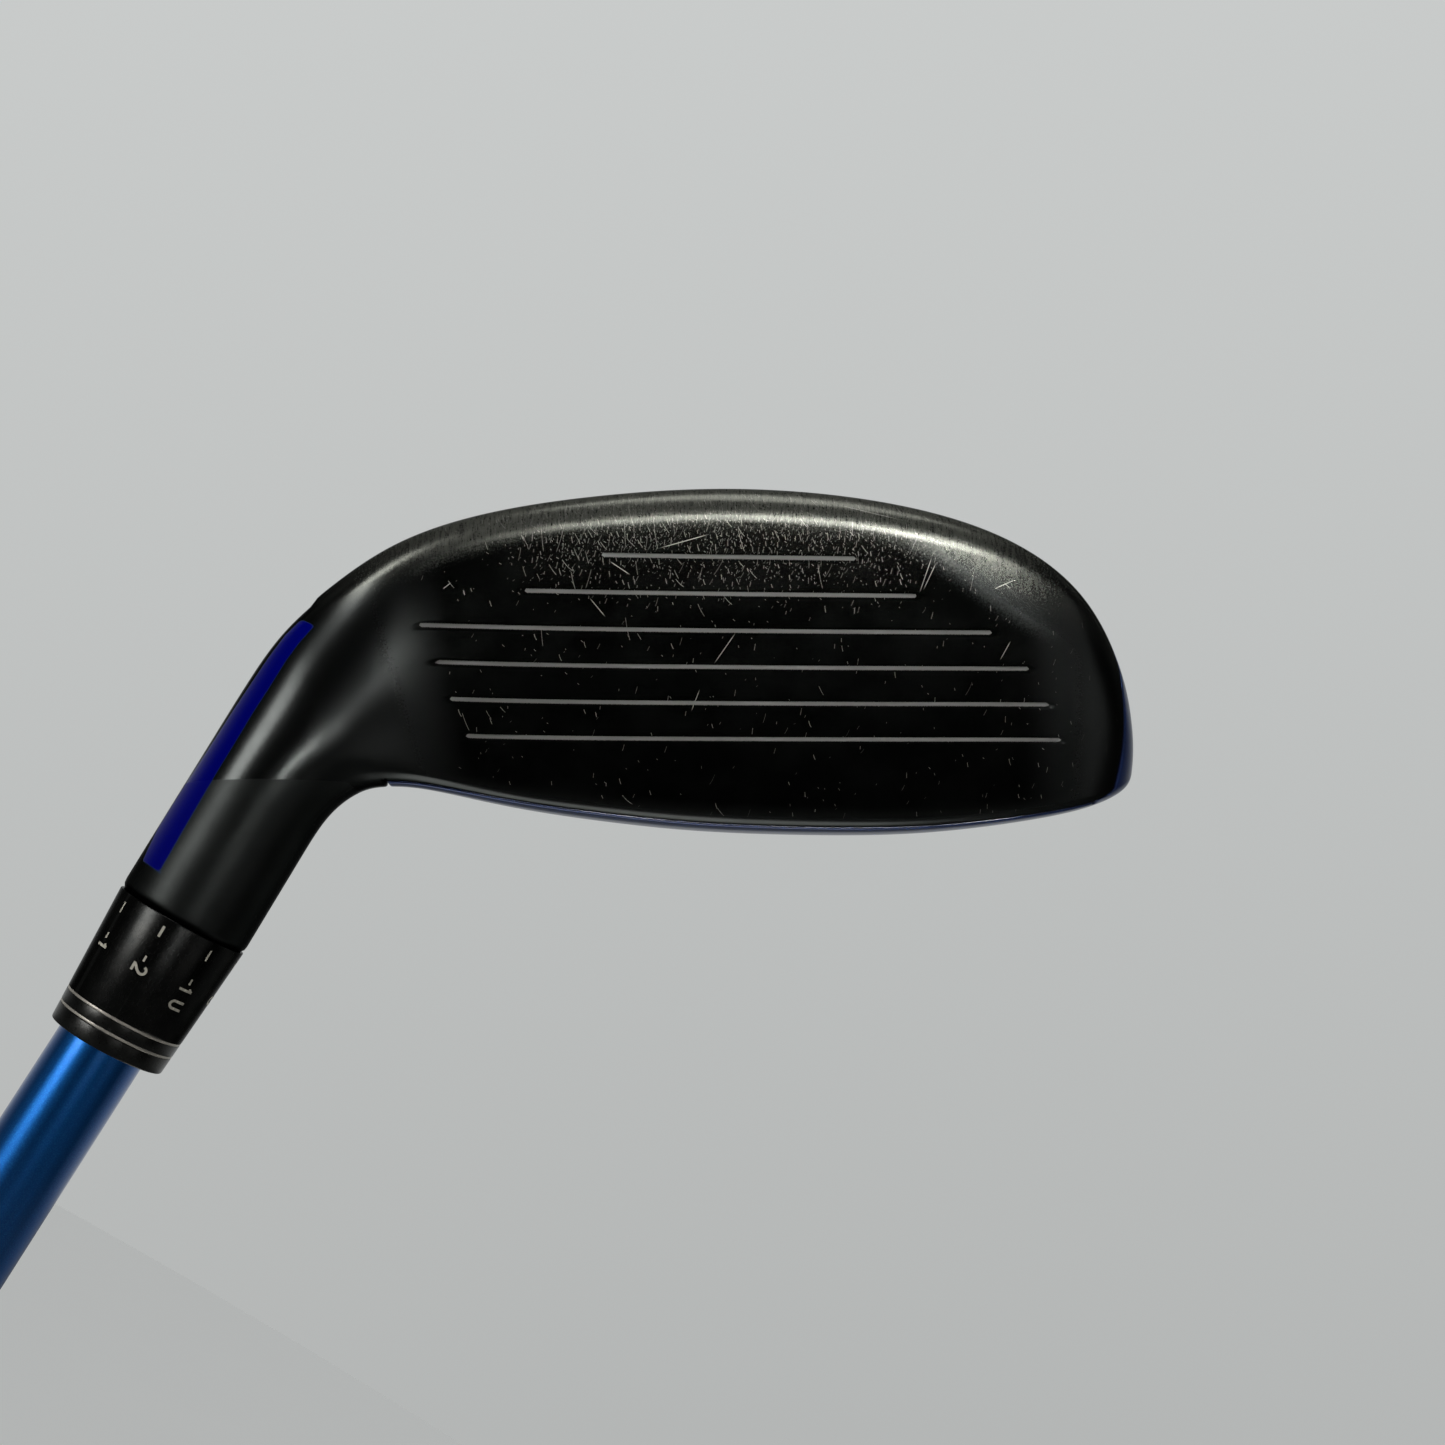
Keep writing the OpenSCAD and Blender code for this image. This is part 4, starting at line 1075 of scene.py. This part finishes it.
# The hosel screw: shank and head, with its socket towards the sole
head_v = LEDGE_V + 0.65
head_end_v = head_v + 3.6
shank = [(2.3, v) for v in np.linspace(34.6, head_v, 3)]
outer = bevelled([(2.0, 34.1)] + shank + [(3.8, head_v), (3.8, head_end_v), (2.6, head_end_v)],
                 0.3)
pts, faces = socket_head(outer, 2.25, head_end_v, head_end_v - 2.6, 1.75, from_hosel)
piece("screw_skin", pts, faces, "hosel_screw", OXIDE,
      replaces=("hosel_screw",), sharp=35)
# The sole weight: threaded stem and wide head, with its socket in the head's top
weight_top, weight_foot = -0.7, -4.3
outer = bevelled([(2.1, -10.6), (2.5, -10.2), (2.5, weight_foot), (6.2, weight_foot),
                  (6.2, weight_top), (3.2, weight_top)], 0.35)
pts, faces = socket_head(outer, 2.75, weight_top, -3.2, 2.1, from_weight)
piece("weight_skin", pts, faces, "sole_weight", STEEL,
      replaces=("sole_weight",), sharp=35)

# ---- Floor, light and camera ----------------------------------------------------------

PAPER = plain_finish("pale_floor", (0.55, 0.56, 0.555), (0.56, 0.57, 0.565), 0.9, 3.0)
FLOOR_R, FLOOR_TONE = 4.0, 0.34
ring = about_z(FLOOR_R, 0.0, angles(96))
floor_mesh = bpy.data.meshes.new("floor")
floor_mesh.from_pydata(ring.tolist(), [], [list(range(len(ring)))])
floor_mesh.materials.append(PAPER)
# The floor is lifted to the background's tone where it is looked at, not where it is reflected
paper_tree = PAPER.node_tree
looked_at = paper_tree.nodes.new("ShaderNodeLightPath")
lift = paper_tree.nodes.new("ShaderNodeMath")
lift.operation = "MULTIPLY"
lift.inputs[1].default_value = FLOOR_TONE
paper_tree.links.new(looked_at.outputs["Is Camera Ray"], lift.inputs[0])
paper_shader = paper_tree.nodes["Principled BSDF"]
paper_shader.inputs["Emission Color"].default_value = (0.98, 1.0, 0.99, 1.0)
paper_tree.links.new(lift.outputs[0], paper_shader.inputs["Emission Strength"])
floor = bpy.data.objects.new("floor", floor_mesh)
bpy.context.scene.collection.objects.link(floor)

# The camera's own right, up and backward directions, and its place
RIGHT = Vector((0.855377, -0.089305, 0.510249))
UP = Vector((-0.517834, -0.122129, 0.846718))
BACK = Vector((-0.0133, -0.988488, -0.150712))
EYE = Vector((0.0352334, -0.2047283, 0.9659130))
camera = bpy.data.objects.new("camera", bpy.data.cameras.new("camera"))
bpy.context.scene.collection.objects.link(camera)
camera.matrix_world = Matrix.Translation(EYE) @ Matrix((RIGHT, UP, BACK)).transposed().to_4x4()
camera.data.sensor_width = 36
camera.data.lens = 47.217
camera.data.clip_start, camera.data.clip_end = 0.01, 20
bpy.context.scene.camera = camera

TARGET = Vector((0.030, 0.0, 0.985))  # the middle of the head


def softbox(name, right, up, back, size, power, shape=1.0, far=0.6):
    """A soft area light, facing the head from a direction given by its shares of the
    camera's right, up and backward directions."""
    light = bpy.data.lights.new(name, "AREA")
    light.shape = "RECTANGLE"
    light.size, light.size_y = size, size * shape
    light.energy = power
    obj = bpy.data.objects.new(name, light)
    bpy.context.scene.collection.objects.link(obj)
    way = (RIGHT * right + UP * up + BACK * back).normalized()
    obj.location = TARGET + way * far
    obj.rotation_mode = "QUATERNION"
    obj.rotation_quaternion = way.to_track_quat("Z", "Y")
    return obj


def beam(name, right, up, back, size, power, spread, aim_right, aim_up):
    """A soft light narrowed to a beam of so many degrees, aimed at a place on the head."""
    light = softbox(name, right, up, back, size, power)
    light.data.spread = math.radians(spread)
    aim = TARGET + RIGHT * aim_right + UP * aim_up
    light.rotation_quaternion = (light.location - aim).to_track_quat("Z", "Y")


# Power is in watts; a beam needs little, because a narrow light is bright along its axis
softbox("fill", 0.34, -0.10, 0.93, 0.2, 0.13)
softbox("soft_left", -0.57, 0.42, 0.70, 0.20, 1.9)
softbox("soft_top", 0.20, 1.0, 0.25, 0.40, 1.5, 0.6)
softbox("soft_low", 0.05, -1.0, 0.0, 0.35, 0.9, 0.6)
softbox("soft_right", 0.75, -0.36, 0.57, 0.25, 0.10)
beam("heel_beam", 0.46, -0.04, 0.88, 0.08, 0.0013, 13, -0.027, 0.006)
beam("toe_beam", 0.31, -0.12, 0.94, 0.07, 0.017, 12, 0.024, 0.032)
# Light for the floor, hung below the head and facing down
low_light = softbox("floor_light", 0, 0, 1, 1.6, 2.5)
low_light.location = (0, 0, 0.86)
low_light.rotation_quaternion = (1, 0, 0, 0)

# The world: a background that shades evenly upwards where it is looked at, and that lights
# the club more from beyond it than from the camera's side
world = bpy.data.worlds.new("studio")
bpy.context.scene.world = world
world.use_nodes = True
tree = world.node_tree
tree.nodes.clear()
link = tree.links.new
where = tree.nodes.new("ShaderNodeTexCoord")


def along_ramp(way, low, high, to_low, to_high):
    """A value that rises with the share of the ray's direction that lies along a way."""
    share = tree.nodes.new("ShaderNodeVectorMath")
    share.operation = "DOT_PRODUCT"
    share.inputs[1].default_value = way
    link(where.outputs["Generated"], share.inputs[0])
    ramp = tree.nodes.new("ShaderNodeMapRange")
    for k, value in enumerate((low, high, to_low, to_high)):
        ramp.inputs[k + 1].default_value = value
    link(share.outputs["Value"], ramp.inputs[0])
    return ramp.outputs[0]


tone = tree.nodes.new("ShaderNodeVectorMath")
tone.operation = "SCALE"
tone.inputs[0].default_value = (0.985, 1.012, 1.003)
link(along_ramp(UP, -0.35, 0.4, 0.462, 0.60), tone.inputs["Scale"])
seen, lit = tree.nodes.new("ShaderNodeBackground"), tree.nodes.new("ShaderNodeBackground")
link(tone.outputs[0], seen.inputs["Color"])
lit.inputs["Color"].default_value = (0.97, 1.0, 1.0, 1)
link(along_ramp(-BACK, 0.0, 0.65, 0.004, 0.50), lit.inputs["Strength"])
path = tree.nodes.new("ShaderNodeLightPath")
mixed = tree.nodes.new("ShaderNodeMixShader")
link(path.outputs["Is Camera Ray"], mixed.inputs[0])
link(lit.outputs[0], mixed.inputs[1])
link(seen.outputs[0], mixed.inputs[2])
link(mixed.outputs[0], tree.nodes.new("ShaderNodeOutputWorld").inputs[0])

view = bpy.context.scene.view_settings
view.view_transform = "Standard"
view.look = "None"
view.exposure = 0
view.gamma = 1
